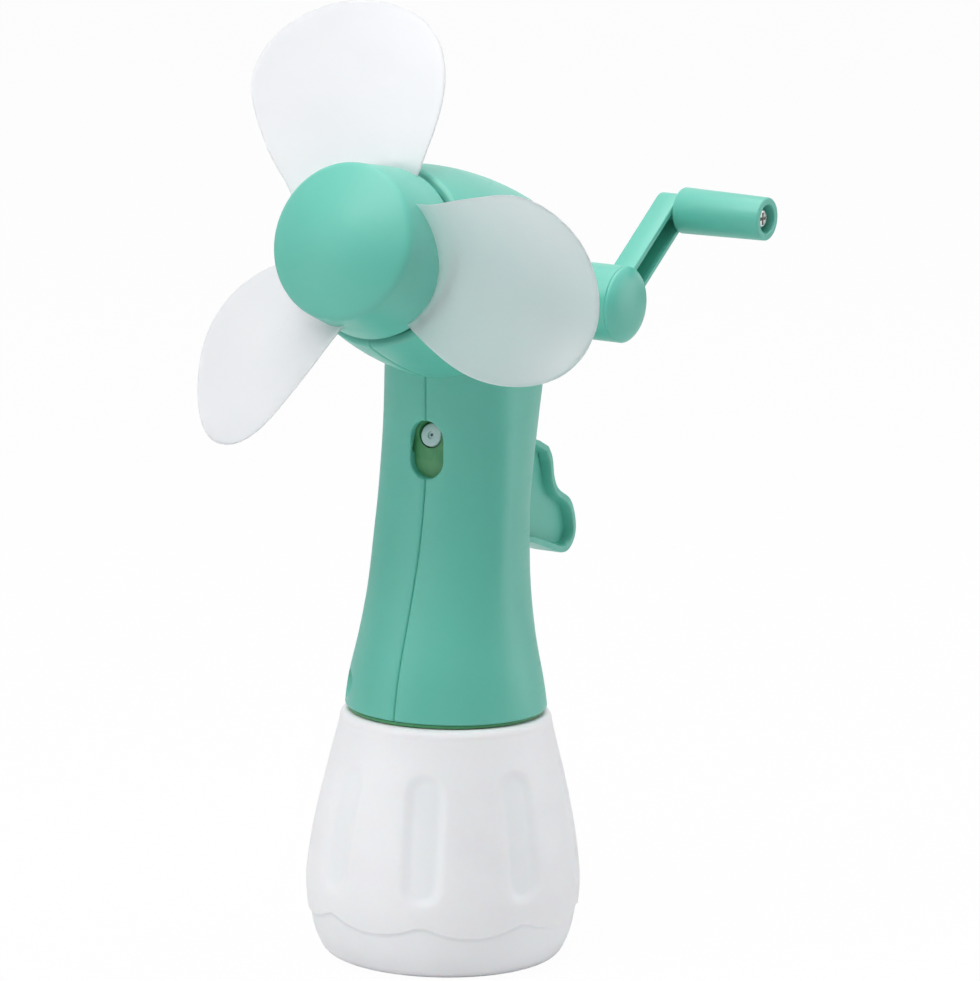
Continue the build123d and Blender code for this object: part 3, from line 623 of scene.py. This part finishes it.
def head_form(name, shrink, groove):
    """The head: a long egg about the fan's axis, with a rounded front rim."""
    length = EGG_HALF_LENGTH - shrink
    radius = EGG_RADIUS - shrink
    front = HEAD_FRONT + EGG_BACK if groove else HEAD_FRONT + EGG_BACK + 1.0
    stations = []
    first = math.acos(min((front - RIM_ROUND if groove else front) / length, 1.0))
    for k in range(79):
        angle = math.pi + (first - math.pi) * k / 78
        stations.append((length * math.cos(angle), radius * math.sin(angle)))
    if groove:
        edge = stations[-1][1]
        for k in range(1, 6):
            turn = math.pi / 2 * k / 5
            drop = RIM_ROUND * (math.cos(turn) - 1) - 0.12 * k / 5
            stations.append((front - RIM_ROUND + RIM_ROUND * math.sin(turn), edge + drop))
    rings = []
    for along, out in stations:
        if out < 0.05:
            rings.append([put(FAN, 0, 0, along - EGG_BACK)])
            continue
        ring = []
        for turn in seam_turns(out):
            reach = out - (seam_depth(turn, out) if groove else 0)
            ring.append(put(FAN, reach * math.sin(turn), reach * math.cos(turn), along - EGG_BACK))
        rings.append(ring)
    return rings_piece(name, rings)


def handle_section(height, shrink):
    """Half width, front reach, rear reach and widest place of the handle at a height."""
    rows = HANDLE_CURVE
    for low, high in zip(rows, rows[1:]):
        if low[0] <= height <= high[0] + 1e-6:
            t = (height - low[0]) / max(high[0] - low[0], 1e-6)
            values = [a + (b - a) * t for a, b in zip(low, high)]
            break
    else:
        values = list(rows[0] if height < rows[0][0] else rows[-1])
    _, half, front, rear, widest = values
    return half - shrink, widest - front - shrink, rear - widest - shrink, widest


def handle_curve():
    """The handle's sections, drawn as smooth lines up its height."""
    columns = []
    for column in range(1, 5):
        line = curve_through([(row[0], row[column]) for row in HANDLE], 12)
        columns.append(line)
    rows = []
    for step in range(0, 180):
        height = HANDLE[0][0] + (HANDLE[-1][0] - HANDLE[0][0]) * step / 179
        row = [height]
        for line in columns:
            for low, high in zip(line, line[1:]):
                if low.x <= height <= high.x + 1e-6:
                    row.append(low.y + (high.y - low.y) * (height - low.x) / max(high.x - low.x, 1e-6))
                    break
        rows.append(tuple(row))
    return rows


HANDLE_CURVE = handle_curve()


def handle_front(x, height, shrink=0.0):
    """The front surface's y at a place across the handle."""
    half, ahead, behind, widest = handle_section(height, shrink)
    return widest - ahead * math.sqrt(max(1 - (x / half) ** 2, 0))


def handle_form(name, shrink, bottom, groove):
    """The handle below the head, as rings up its height."""
    levels = [bottom + (HANDLE[-1][0] - bottom) * k / 90 for k in range(91)]
    if groove:
        levels = [bottom, bottom + 0.12, bottom + 0.35, bottom + EDGE_ROUND] + levels[1:]
    rings = []
    for level in levels:
        half, ahead, behind, widest = handle_section(level, shrink)
        roll = 0.0
        if groove:
            part = min((level - bottom) / EDGE_ROUND, 1.0)
            roll = 0.6 * (1 - math.sqrt(1 - (1 - part) ** 2))
        ring = []
        for turn in seam_turns(half):
            dip = (seam_depth(turn, half) if groove else 0) + roll
            reach = ahead if math.cos(turn) > 0 else behind
            ring.append(Vector((
                (half - dip) * math.sin(turn), widest - (reach - dip) * math.cos(turn), level,
            )))
        rings.append(ring)
    return rings_piece(name, rings)


def window_cutter():
    """The spray window's round-ended hole, with a softened lip that follows the wall."""
    width, height, centre = WINDOW
    rings = []
    for grow, depth in ((0.5, None), (0.5, -0.02), (0.3, 0.05), (0.12, 0.18), (0.0, 0.45), (0.0, 7.0)):
        ring = []
        for x, z in stadium(height + 2 * grow, width + 2 * grow, centre):
            y = -20.0 if depth is None else handle_front(x, z) + depth
            ring.append((x, y, z))
        rings.append(ring)
    return rings_piece("window_cut", rings)


def screw_place(number, head=0.0):
    """A housing screw's own place: its axis points at the far half."""
    y, z = SCREWS[number]
    return place(Vector((head, y, z)), Vector((0, 1, 0)), Vector((0, 0, 1)), SIDE)


def outer_x(y, z):
    """How far the left half's outer face is from the centre plane, at a screw."""
    local = Vector((0, y, z)) - FAN_CENTRE
    along = local.dot(FORWARD) + EGG_BACK
    up = local.dot(RISE)
    inside = 1 - (along / EGG_HALF_LENGTH) ** 2
    best = 0.0
    if inside > 0 and EGG_RADIUS ** 2 * inside > up * up and along < HEAD_FRONT + EGG_BACK:
        best = math.sqrt(EGG_RADIUS ** 2 * inside - up * up)
    if z < HANDLE[-1][0]:
        half, ahead, behind, widest = handle_section(z, 0)
        part = (y - widest) / (behind if y > widest else ahead)
        if abs(part) < 1:
            best = max(best, half * math.sqrt(1 - part * part))
    return best


def housing_halves():
    """Both moulded halves: one hollow form with posts and walls, cut and then parted."""
    form = head_form("housing", 0, True)
    combine(form, "UNION", handle_form("handle", 0, HANDLE_BOTTOM, True))
    hollow = head_form("hollow", WALL, False)
    combine(hollow, "UNION", handle_form("handle_hollow", WALL, HANDLE_BOTTOM - 1, False))
    combine(form, "DIFFERENCE", hollow)
    additions = []
    for low, high in HEAD_WALLS:
        middle = (low + high) / 2 + EGG_BACK
        reach = (EGG_RADIUS - 1.2) * math.sqrt(1 - (middle / (EGG_HALF_LENGTH - 1.2)) ** 2)
        additions.append(turned("wall", [(0, low), (reach, low), (reach, high), (0, high)], FAN, 96))
    posts = []
    for number in range(len(SCREWS)):
        reach = outer_x(*SCREWS[number]) + 2.0
        post = [(0, -reach), (SCREW_POST_RADIUS, -reach), (SCREW_POST_RADIUS, reach), (0, reach)]
        posts.append(turned("post", post, screw_place(number), 32))
    filling = head_form("filling", 1.0, False)
    combine(filling, "UNION", handle_form("handle_filling", 1.0, HANDLE_BOTTOM, False))
    held = combine(joined_pieces("posts", posts), "INTERSECT", filling)
    combine(form, "UNION", *additions, held)
    land = rounded([(0, 15.5), (6.5, 15.5), (6.5, 19.0), (8.5, 19.0), (8.5, 23.6, 0.5), (0, 23.6)])
    combine(form, "UNION", turned("crank_land", land, CRANK, 96))
    cuts = [
        window_cutter(),
        drill("bush_cut", BUSH_RADIUS, -30.5, 1.0, FAN),
        drill("crank_cut", CRANK_BUSH_RADIUS, 13.0, 25.0, CRANK),
        drill("pump_cut", PUMP_RADIUS, 0.0, 24.0, PUMP),
        drill("column_cut", COLUMN_RADIUS, 62.0, 123.4, COLUMN),
        block("slot_cut", bar(28.5, 52.0, -19.25, 5.55), TRIGGER, -4.25, 4.25),
    ]
    for number, head_x in enumerate(SCREW_HEAD_X):
        reach = outer_x(*SCREWS[number])
        cuts.append(drill("shank_cut", 1.4, head_x - 1, SCREW_TIP_X + 0.5, screw_place(number), 32))
        mouth = [
            (0, -40.0), (3.5, -40.0), (3.5, -reach + 0.2), (3.15, -reach + 0.55), (2.9, -reach + 1.3),
            (2.9, head_x), (0, head_x),
        ]
        cuts.append(turned("recess_cut", mouth, screw_place(number), 48))
    combine(form, "DIFFERENCE", *cuts)
    halves = []
    for name, low, high in (("housing_left_shell", -60, -0.02), ("housing_right_shell", 0.02, 60)):
        half = bpy.data.objects.new(name, form.data.copy())
        bpy.context.scene.collection.objects.link(half)
        combine(half, "INTERSECT", block("half_space", bar(low, high, -120, 120), WORLD, 0, 260))
        halves.append(half)
    bpy.data.objects.remove(form)
    return halves


left_shell, right_shell = housing_halves()
finish_piece(left_shell, mint_shell, "handle", "housing_left", 38)
finish_piece(right_shell, mint_shell, "handle", "housing_right", 38)


def screw(name, spot, radius, shank, length, head, cross):
    """A pan-head screw with a cross recess; its head starts at height 0 and points down."""
    profile = rounded([
        (0, length), (shank - 0.5, length, 0), (shank, length - 1.2), (shank, 0), (radius, 0, 0.15),
        (radius, -head * 0.55, 0.5), (radius * 0.72, -head, 0.4), (0, -head),
    ])
    made = turned(name, profile, spot, 48)
    for outline in (bar(-cross, cross, -0.38, 0.38), bar(-0.38, 0.38, -cross, cross)):
        combine(made, "DIFFERENCE", block("cross", outline, spot, -head - 1, -head * 0.42))
    return made


heads = []
for number, head_x in enumerate(SCREW_HEAD_X):
    spot = screw_place(number, head_x)
    heads.append(screw("screw", spot, SCREW_HEAD_RADIUS, 1.38, SCREW_TIP_X - head_x, 1.85, 1.5))
shell_screws = joined_pieces("shell_screws", heads)
finish_piece(shell_screws, screw_steel, "handle", "housing_screws", 30)

# ---- rotor -------------------------------------------------------------------
HUB_REAR_RADIUS = 20.1
HUB_DOME = (
    (18.47, 15.2), (18.25, 16.3), (17.55, 17.15), (16.4, 17.8),
    (13.5, 19.05), (9.0, 20.55), (4.5, 21.6), (0, 22.0),
)
hub_side = [(0, 2.6), (17.6, 2.6), (17.9, 0.0, 0.3), (HUB_REAR_RADIUS, 0.0, 0.35), HUB_DOME[0]]
hub_profile = rounded(hub_side, 6) + curve_through(HUB_DOME, 5)[1:]
hub = turned("hub_cap", hub_profile, FAN, 128)


def blade_height(out, across, settled):
    """The curved sheet's height over the hub's rear plane; settled is the blade's own small sag."""
    a = across / 15.0
    b = (out - 16.0) / 20.0
    root = 4.47 - 5.78 * a + 3.91 * a ** 2 - 1.21 * a ** 3
    bend = 0.98 - 2.57 * a - 1.43 * a ** 2 + 0.68 * a ** 3
    tip = max(out - 18.0, 0.0) / 40.0
    return root + b * bend - 0.53 * b ** 2 + settled[2] * tip * a + settled[3] * tip ** 2


def blade_piece(name, angle, settled):
    """One soft blade: rings drawn in from its outline, over the curved sheet."""
    turn = math.radians(angle)
    out_dir = RISE * math.cos(turn) + SIDE * math.sin(turn)
    spot = place(FAN_CENTRE, out_dir, FORWARD.cross(out_dir) * -1, FORWARD)
    outline = []
    for out, across in BLADE_OUTLINE:
        tip = max(out - 18.0, 0.0) / 40.0
        outline.append((out + settled[1] * tip ** 2, across + settled[0] * tip ** 2))
    edge = []
    for point in curve_through(outline, 14, closed=True):
        radius = point.length
        edge.append(point * (BLADE_ROOT_RADIUS / radius) if radius < BLADE_ROOT_RADIUS else point)
    centre = Vector((34.0, 2.5))
    half = BLADE_THICKNESS / 2

    def ring(part, lift):
        made = []
        for point in edge:
            spot_2d = centre + (point - centre) * part
            made.append(put(spot, spot_2d.x, spot_2d.y, blade_height(spot_2d.x, spot_2d.y, settled) + lift))
        return made

    def middle(lift):
        return [put(spot, centre.x, centre.y, blade_height(centre.x, centre.y, settled) + lift)]

    face = [(part, half) for part in (0.12, 0.25, 0.4, 0.55, 0.7, 0.82, 0.91, 0.965)]
    face += [(0.987, half * 0.8), (0.997, half * 0.4)]
    rings = [middle(half)]
    rings += [ring(part, lift) for part, lift in face]
    rings.append(ring(1.0, 0.0))
    rings += [ring(part, -lift) for part, lift in reversed(face)]
    rings.append(middle(-half))
    return rings_piece(name, rings)


for number in range(3):
    angle = BLADE_MID_ANGLE - 120 + 120 * number
    blade = blade_piece("soft_blade_" + str(number + 1), angle, BLADE_SET[number])
    finish_piece(blade, blade_frost, "rotor", "blade_" + str(number + 1), 60)
finish_piece(hub, mint_hub, "rotor", "rotor_hub", 50)

# ---- crank -------------------------------------------------------------------
arm = turned("crank_lever", rounded([
    (0, CRANK_HUB[0]), (CRANK_HUB_RADIUS - 0.4, CRANK_HUB[0]), (CRANK_HUB_RADIUS, CRANK_HUB[0] + 0.7, 0.5),
    (CRANK_HUB_RADIUS, CRANK_HUB[1], 0.25), (0, CRANK_HUB[1]),
]), CRANK, 128)
half_arm = [(y, x) for x, y in stadium(2 * ARM_LENGTH + ARM_WIDTH, ARM_WIDTH) if y > 0]
half_arm += [(0, -ARM_WIDTH / 2), (0, ARM_WIDTH / 2)]
lever = block("lever", half_arm, ARM, ARM_INNER, CRANK_HUB[1])
soften(lever, 0.45, 50)
channel_half = ARM_WIDTH / 2 - ARM_WALL
channel_outline = bar(8.0, ARM_LENGTH - 1.0, -channel_half, channel_half)
channel = block("channel", channel_outline, ARM, ARM_INNER + 1.4, 40)
soften(channel, 0.3, 50)
combine(lever, "DIFFERENCE", channel)
combine(arm, "UNION", lever)
combine(arm, "DIFFERENCE", drill("bore", CRANK_SHAFT_RADIUS, 20, 35, CRANK))
finish_piece(arm, mint_crank, "crank", "crank_arm", 32)

CAP_DOME = (
    (8.9, 36.22), (9.0, 36.45), (8.55, 37.35), (7.2, 38.35), (4.5, 39.15), (1.5, 39.48), (0, 39.5),
)
cap_profile = [tuple(p) for p in curve_through(CAP_DOME, 6)] + [(0, CAP_DOME[0][1])]
cap = turned("crank_dome", cap_profile, CRANK, 128)
finish_piece(cap, mint_crank, "crank", "crank_cap", 50)

GRIP_FLOOR = GRIP_ENDS[1] - 3.2
knob = turned("finger_grip", rounded([
    (1.65, GRIP_ENDS[0]), (5.5, GRIP_ENDS[0], 0.6), (5.1, GRIP_ENDS[1], 0.45), (3.4, GRIP_ENDS[1], 0.35),
    (3.3, GRIP_FLOOR, 0.2), (1.65, GRIP_FLOOR), (1.65, GRIP_ENDS[0] + 0.1),
]), GRIP, 96)
finish_piece(knob, mint_crank, "grip", "grip", 40)
pin_head = GRIP_CENTRE + SIDE * (GRIP_FLOOR + 0.1)
grip_spot = place(pin_head, Vector((0, 1, 0)), Vector((0, 0, -1)), -SIDE)
pin = screw("grip_pin", grip_spot, 2.6, 1.6, 25.0, 1.8, 1.45)
finish_piece(pin, screw_steel, "crank", "grip_screw", 30)

# ---- trigger, nozzle and collar ------------------------------------------------
def drawn_in(outline, inset):
    """A closed outline moved inward along its own normals."""
    area = sum(a.x * b.y - b.x * a.y for a, b in zip(outline, outline[1:] + outline[:1]))
    sign = 1 if area > 0 else -1
    moved = []
    count = len(outline)
    for k, here in enumerate(outline):
        way = (outline[(k + 1) % count] - outline[k - 1]).normalized()
        moved.append(here + Vector((-way.y, way.x)) * inset * sign)
    return moved


trigger_line = [Vector(p) for p in TRIGGER_OUTLINE[:2]]
trigger_line += curve_through(TRIGGER_OUTLINE[2:11], 8)
trigger_line += [Vector(p) for p in TRIGGER_OUTLINE[11:]]
# inset from the outline and height over the middle, from the hollow's floor over the rim to the side
TRIGGER_SIDE = ((2.1, 1.6), (1.95, 2.2), (1.75, 3.7), (1.45, 4.0), (0.4, 4.0), (0.1, 3.85), (0.0, 3.5))
rings = []
for inset, level in TRIGGER_SIDE:
    rings.append([put(TRIGGER, p.x, p.y, level) for p in drawn_in(trigger_line, inset)])
for inset, level in reversed(TRIGGER_SIDE):
    rings.append([put(TRIGGER, p.x, p.y, -level) for p in drawn_in(trigger_line, inset)])
lever_trigger = rings_piece("pull_trigger", rings)
flange = block("flange", bar(29.5, 31.5, -19, 2.5), TRIGGER, -5, 5)
neck = block("neck", bar(31.0, 36.0, -19, 5.3), TRIGGER, -3.9, 3.9)
combine(lever_trigger, "UNION", flange, neck)
finish_piece(lever_trigger, mint_crank, "trigger", "trigger", 40)

NOZZLE_RADIUS = 2.75
jet = turned("spray_nozzle", rounded([
    (0.35, 4.4), (1.8, 4.4, 0.2), (1.8, 1.6), (NOZZLE_RADIUS, 1.6, 0.2), (NOZZLE_RADIUS, 0.0, 0.35),
    (0.9, 0.0, 0.15), (0.85, 0.4), (0.35, 0.4), (0.35, 4.3),
]), PUMP, 64)
finish_piece(jet, nozzle_grey, "handle", "nozzle", 40)

def window_shade_sheet():
    """Painted shade: a dark green sheet that stands in for the shaded inner wall seen through the window, a
    thin wall in the pump's green that follows the handle just behind the window.
    """
    rings = []
    half, low, high, thickness = 8.6, 112.5, 134.0, 1.2
    for step in range(25):
        x = half * (step / 12 - 1)
        ring = []
        for z, depth in ((low, 0.0), (high, 0.0), (high, thickness), (low, thickness)):
            ring.append((x, handle_front(x, z, WALL + 0.35) + depth, z))
        rings.append(ring)
    made = rings_piece("shade_sheet_behind_window", rings)
    return combine(made, "DIFFERENCE", drill("jet_hole", NOZZLE_RADIUS + 0.4, -12, 12, PUMP))


# painted shade: this dark green sheet behind the window stands in for the shaded inner wall
shade_sheet = window_shade_sheet()
finish_piece(shade_sheet, pump_green, "handle", None, 35)

collar_bore = NECK_RADIUS + 0.05
collar_foot = SHOULDER + 0.2
collar = turned("pump_collar", rounded([
    (collar_bore, collar_foot), (COLLAR_FLANGE_RADIUS, collar_foot, 0.3),
    (COLLAR_FLANGE_RADIUS, 60.28, 0.3), (21.3, HANDLE_BOTTOM), (21.3, 61.6, 0.3),
    (COLLAR_SKIRT_RADIUS, 61.6), (COLLAR_SKIRT_RADIUS, 74.5, 0.4), (4.1, 74.5), (4.1, 72.0),
    (collar_bore, 72.0), (collar_bore, collar_foot + 0.1),
]), WORLD, 128)
finish_piece(collar, pump_green, "handle", "neck_collar", 40)


# ---- bottle --------------------------------------------------------------------
DIMPLES = 8
DIMPLE_PITCH = 360 / DIMPLES
DIMPLE_MIDDLE = 34.0
DIMPLE_HALF_LENGTH = 10.3
DIMPLE_DEPTH = 0.8
STEP_HEIGHT = 11.3
STEP_LOW = 11.2
STEP_WAVE = 3.0


def from_dimple(angle):
    """How far an angle is from the last dimple's middle, in degrees."""
    return (math.degrees(angle) - DIMPLE_PITCH / 2) % DIMPLE_PITCH


def dimple_depth(angle, height, radius):
    """Depth of the long finger dimples at a place on the bottle."""
    near = from_dimple(angle)
    across = math.radians(min(near, DIMPLE_PITCH - near)) * radius
    along = max(abs(height - DIMPLE_MIDDLE) - DIMPLE_HALF_LENGTH, 0.0)
    return DIMPLE_DEPTH * (1 - smoothstep(2.6, 5.6, math.hypot(across, along)))


def scallop_line(angle):
    """Height of the scalloped step: high below each dimple, low between two."""
    part = abs(2 * from_dimple(angle) / DIMPLE_PITCH - 1)
    part -= 2.0 * max(part - 0.8, 0) ** 2
    return STEP_LOW + STEP_WAVE * part ** 2


def bottle_radius(height):
    """The plain turned body's radius at a height."""
    for low, high in zip(BOTTLE_LINE, BOTTLE_LINE[1:]):
        if low.y <= height <= high.y:
            return low.x + (high.x - low.x) * (height - low.y) / max(high.y - low.y, 1e-6)
    return BOTTLE_LINE[-1].x


BOTTLE_LINE = curve_through(BOTTLE_PROFILE, 9)


def bottle_ring(height, radius, dent, around):
    """One ring of the body, with the step's scallops and the dimples."""
    ring = []
    for k in range(around):
        angle = 2 * math.pi * k / around
        follow = smoothstep(0.0, STEP_HEIGHT - 1.0, height)
        follow *= 1 - smoothstep(STEP_HEIGHT + 1.0, 21.0, height)
        level = height + follow * (scallop_line(angle) - STEP_HEIGHT)
        out = bottle_radius(level) if follow > 0 or radius is None else radius
        below = dent and height < STEP_HEIGHT - 0.8
        out -= dent * smoothstep(0.3, 4.0, height) if below else dent
        out -= dimple_depth(angle, level, out)
        ring.append(Vector((out * math.cos(angle), out * math.sin(angle), level)))
    return ring


def bottle_piece():
    """The bottle: a turned body with dimples and a scalloped step, and its bore."""
    shoulder = rounded([
        (25.1, 57.0), (24.95, SHOULDER, 1.9), (9.5, SHOULDER), (NECK_RADIUS, SHOULDER + 0.9, 0.6),
        (NECK_RADIUS, NECK_TOP, 0.4), (NECK_BORE, NECK_TOP),
    ], 7)
    around = 384
    foot = [(8.0, 0.7), (20.0, 0.7), (22.6, 0.35)]
    # the body's rows as (height, radius, dent); the step's own rows lie close together
    rows = [(p.y, p.x, 0.5) for p in BOTTLE_LINE if p.y < STEP_HEIGHT - 0.9]
    for above, dent in ((-0.75, 0.52), (-0.45, 0.66), (-0.12, 0.72), (-0.04, 0.5),
                        (0.02, 0.06), (0.14, 0.0), (0.5, 0.0)):
        rows.append((STEP_HEIGHT + above, None, dent))
    rows += [(p.y, p.x, 0.0) for p in BOTTLE_LINE if p.y > STEP_HEIGHT + 1.2]
    inside = [(NECK_BORE, 57.6), (12.0, 57.5), (22.2, 57.2)]
    inside += [(p.x - BOTTLE_WALL, max(p.y, 1.8)) for p in reversed(BOTTLE_LINE) if p.y < 55.5]

    def plain_ring(radius, height):
        turns = [2 * math.pi * k / around for k in range(around)]
        return [Vector((radius * math.cos(a), radius * math.sin(a), height)) for a in turns]

    rings = [[Vector((0, 0, 0.7))]]
    rings += [plain_ring(radius, height) for radius, height in foot]
    rings += [bottle_ring(height, radius, dent, around) for height, radius, dent in rows]
    rings += [plain_ring(radius, height) for radius, height in [tuple(p) for p in shoulder] + inside]
    rings.append([Vector((0, 0, 2.2))])
    return rings_piece("refill_bottle", rings)


finish_piece(bottle_piece(), bottle_white, "bottle", "bottle", 42)

# ---- CAD nodes that keep their shape -------------------------------------------
DRESSED = {
    "rotor_back": mint_hub, "front_bush": bush_brass, "rear_bush": bush_brass, "crank_bush": bush_brass,
    "fan_shaft": shaft_steel, "shaft_clip": shaft_steel, "fan_pinion": gear_nylon, "crown_gear": gear_nylon,
    "crank_shaft": shaft_steel, "crank_screw": screw_steel,
    "piston": gear_nylon, "piston_seal": seal_rubber, "pump_body": pump_green, "pump_cap": pump_green,
    "valve_ball": ball_steel, "dip_tube": tube_clear, "gasket": seal_rubber,
}
for name, material in DRESSED.items():
    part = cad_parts[name]
    if not part.material_slots:
        part.data.materials.append(material)
    for slot in part.material_slots:
        slot.material = material


# ---- return spring, a copy of the CAD spring ------------------------------------
spring = bpy.data.objects.new("return_spring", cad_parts["pump_spring"].data.copy())
bpy.context.scene.collection.objects.link(spring)
finish_piece(spring, spring_steel, "handle", "pump_spring", 40)
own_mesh(spring)


# ---- floor, light and camera ---------------------------------------------------
FLOOR_RADIUS = 6000
FLOOR_TOP = -0.05
FLOOR_GLOW = 0.97    # how much of the floor's look is plain white; the rest shows the shadow
AMBIENT = 0.23


def seen_directly(tree):
    """One where a surface is seen by the camera or through glass, else nought."""
    path = node(tree, "ShaderNodeLightPath")
    return math_node(tree, "ADD", path.outputs["Is Camera Ray"], path.outputs["Is Transmission Ray"], True)


def pale_floor():
    """White to the camera, apart from the object's faint shadow."""
    made = bpy.data.materials.new("pale_floor")
    made.use_nodes = True
    tree = made.node_tree
    tree.nodes.clear()
    dull = node(tree, "ShaderNodeBsdfDiffuse")
    dull.inputs["Color"].default_value = (0.86, 0.86, 0.86, 1)
    glow = node(tree, "ShaderNodeEmission")
    glow.inputs["Color"].default_value = (1, 1, 1, 1)
    mix = node(tree, "ShaderNodeMixShader")
    tree.links.new(math_node(tree, "MULTIPLY", seen_directly(tree), FLOOR_GLOW), mix.inputs[0])
    tree.links.new(dull.outputs[0], mix.inputs[1])
    tree.links.new(glow.outputs[0], mix.inputs[2])
    tree.links.new(mix.outputs[0], node(tree, "ShaderNodeOutputMaterial").inputs["Surface"])
    return made


floor = drill("floor", FLOOR_RADIUS, -10.0, FLOOR_TOP, WORLD)
floor.data.materials.append(pale_floor())

CAMERA_AZIMUTH = math.radians(31.0)
CAMERA_RISE = math.radians(10.9)
CAMERA_ROLL = math.radians(1.1)
CAMERA_AWAY = 1600
FOCAL_LENGTH = 6800          # in the picture's own pixels
PICTURE_WIDTH = 980
SENSOR = 36
AIM = Vector((8.06, 4.84, 111.9))
back = Vector((
    math.sin(CAMERA_AZIMUTH) * math.cos(CAMERA_RISE),
    -math.cos(CAMERA_AZIMUTH) * math.cos(CAMERA_RISE),
    math.sin(CAMERA_RISE),
))
right = Vector((math.cos(CAMERA_AZIMUTH), math.sin(CAMERA_AZIMUTH), 0))
up = back.cross(right)


def studio_world():
    """Soft light from all round; in reflections the room is white above and behind, dim in front."""
    world = bpy.data.worlds.new("studio")
    world.use_nodes = True
    tree = world.node_tree
    tree.nodes.clear()
    link = tree.links.new
    way = node(tree, "ShaderNodeTexCoord").outputs["Generated"]
    parts = node(tree, "ShaderNodeSeparateXYZ")
    link(way, parts.inputs[0])
    overhead = spread(tree, parts.outputs["Z"], 0.05, 0.75, 0.10, 1.5)
    ahead = node(tree, "ShaderNodeVectorMath", operation="DOT_PRODUCT")
    link(way, ahead.inputs[0])
    ahead.inputs[1].default_value = (-math.sin(CAMERA_AZIMUTH), math.cos(CAMERA_AZIMUTH), 0)
    behind = spread(tree, ahead.outputs["Value"], -0.1, 0.7, 0.0, 1.1)
    gleam = math_node(tree, "MAXIMUM", overhead, behind)
    glossy = node(tree, "ShaderNodeLightPath").outputs["Is Glossy Ray"]
    level = math_node(tree, "MULTIPLY", glossy, math_node(tree, "SUBTRACT", gleam, AMBIENT))
    level = math_node(tree, "ADD", level, AMBIENT)
    soft = node(tree, "ShaderNodeBackground")
    soft.inputs["Color"].default_value = (0.97, 0.985, 1.0, 1)
    link(level, soft.inputs["Strength"])
    white = node(tree, "ShaderNodeBackground")
    white.inputs["Color"].default_value = (1, 1, 1, 1)
    mix = node(tree, "ShaderNodeMixShader")
    link(seen_directly(tree), mix.inputs[0])
    link(soft.outputs[0], mix.inputs[1])
    link(white.outputs[0], mix.inputs[2])
    link(mix.outputs[0], node(tree, "ShaderNodeOutputWorld").inputs["Surface"])
    return world


bpy.context.scene.world = studio_world()

camera = bpy.data.objects.new("camera", bpy.data.cameras.new("camera"))
bpy.context.scene.collection.objects.link(camera)
turned_right = right * math.cos(CAMERA_ROLL) + up * math.sin(CAMERA_ROLL)
turned_up = up * math.cos(CAMERA_ROLL) - right * math.sin(CAMERA_ROLL)
pose = Matrix((turned_right, turned_up, back)).transposed().to_4x4()
pose.translation = (AIM + back * CAMERA_AWAY) * MM
camera.matrix_world = pose
camera.data.lens = FOCAL_LENGTH / PICTURE_WIDTH * SENSOR
camera.data.sensor_width = SENSOR
camera.data.clip_start = 0.05
camera.data.clip_end = 50
bpy.context.scene.camera = camera


# name, how far right of the middle, towards the camera and up, size (all in metres), power
LAMPS = (
    ("key", (-0.45, 0.6, 1.0), 0.9, 9.6),
    ("fill", (-1.0, 0.45, 0.1), 0.9, 2.2),
    ("rim", (1.0, -0.1, 0.2), 0.8, 3.0),
)
TOP_LAMP = ("top", Vector((0.0, 0.15, 1.25)), 0.9, 7.0)
MIDDLE = Vector((0, 0, 0.12))


def lamp(name, spot, size, power):
    """A square soft light that looks at the middle of the fan."""
    data = bpy.data.lights.new(name, "AREA")
    data.size = size
    data.energy = power
    made = bpy.data.objects.new(name, data)
    bpy.context.scene.collection.objects.link(made)
    made.rotation_euler = (spot - MIDDLE).to_track_quat("Z", "Y").to_euler()
    made.location = spot


for name, (across, near, high), size, power in LAMPS:
    lamp(name, MIDDLE + right * across + back * near + Vector((0, 0, high)), size, power)
lamp(*TOP_LAMP)

bpy.context.scene.view_settings.view_transform = "Standard"
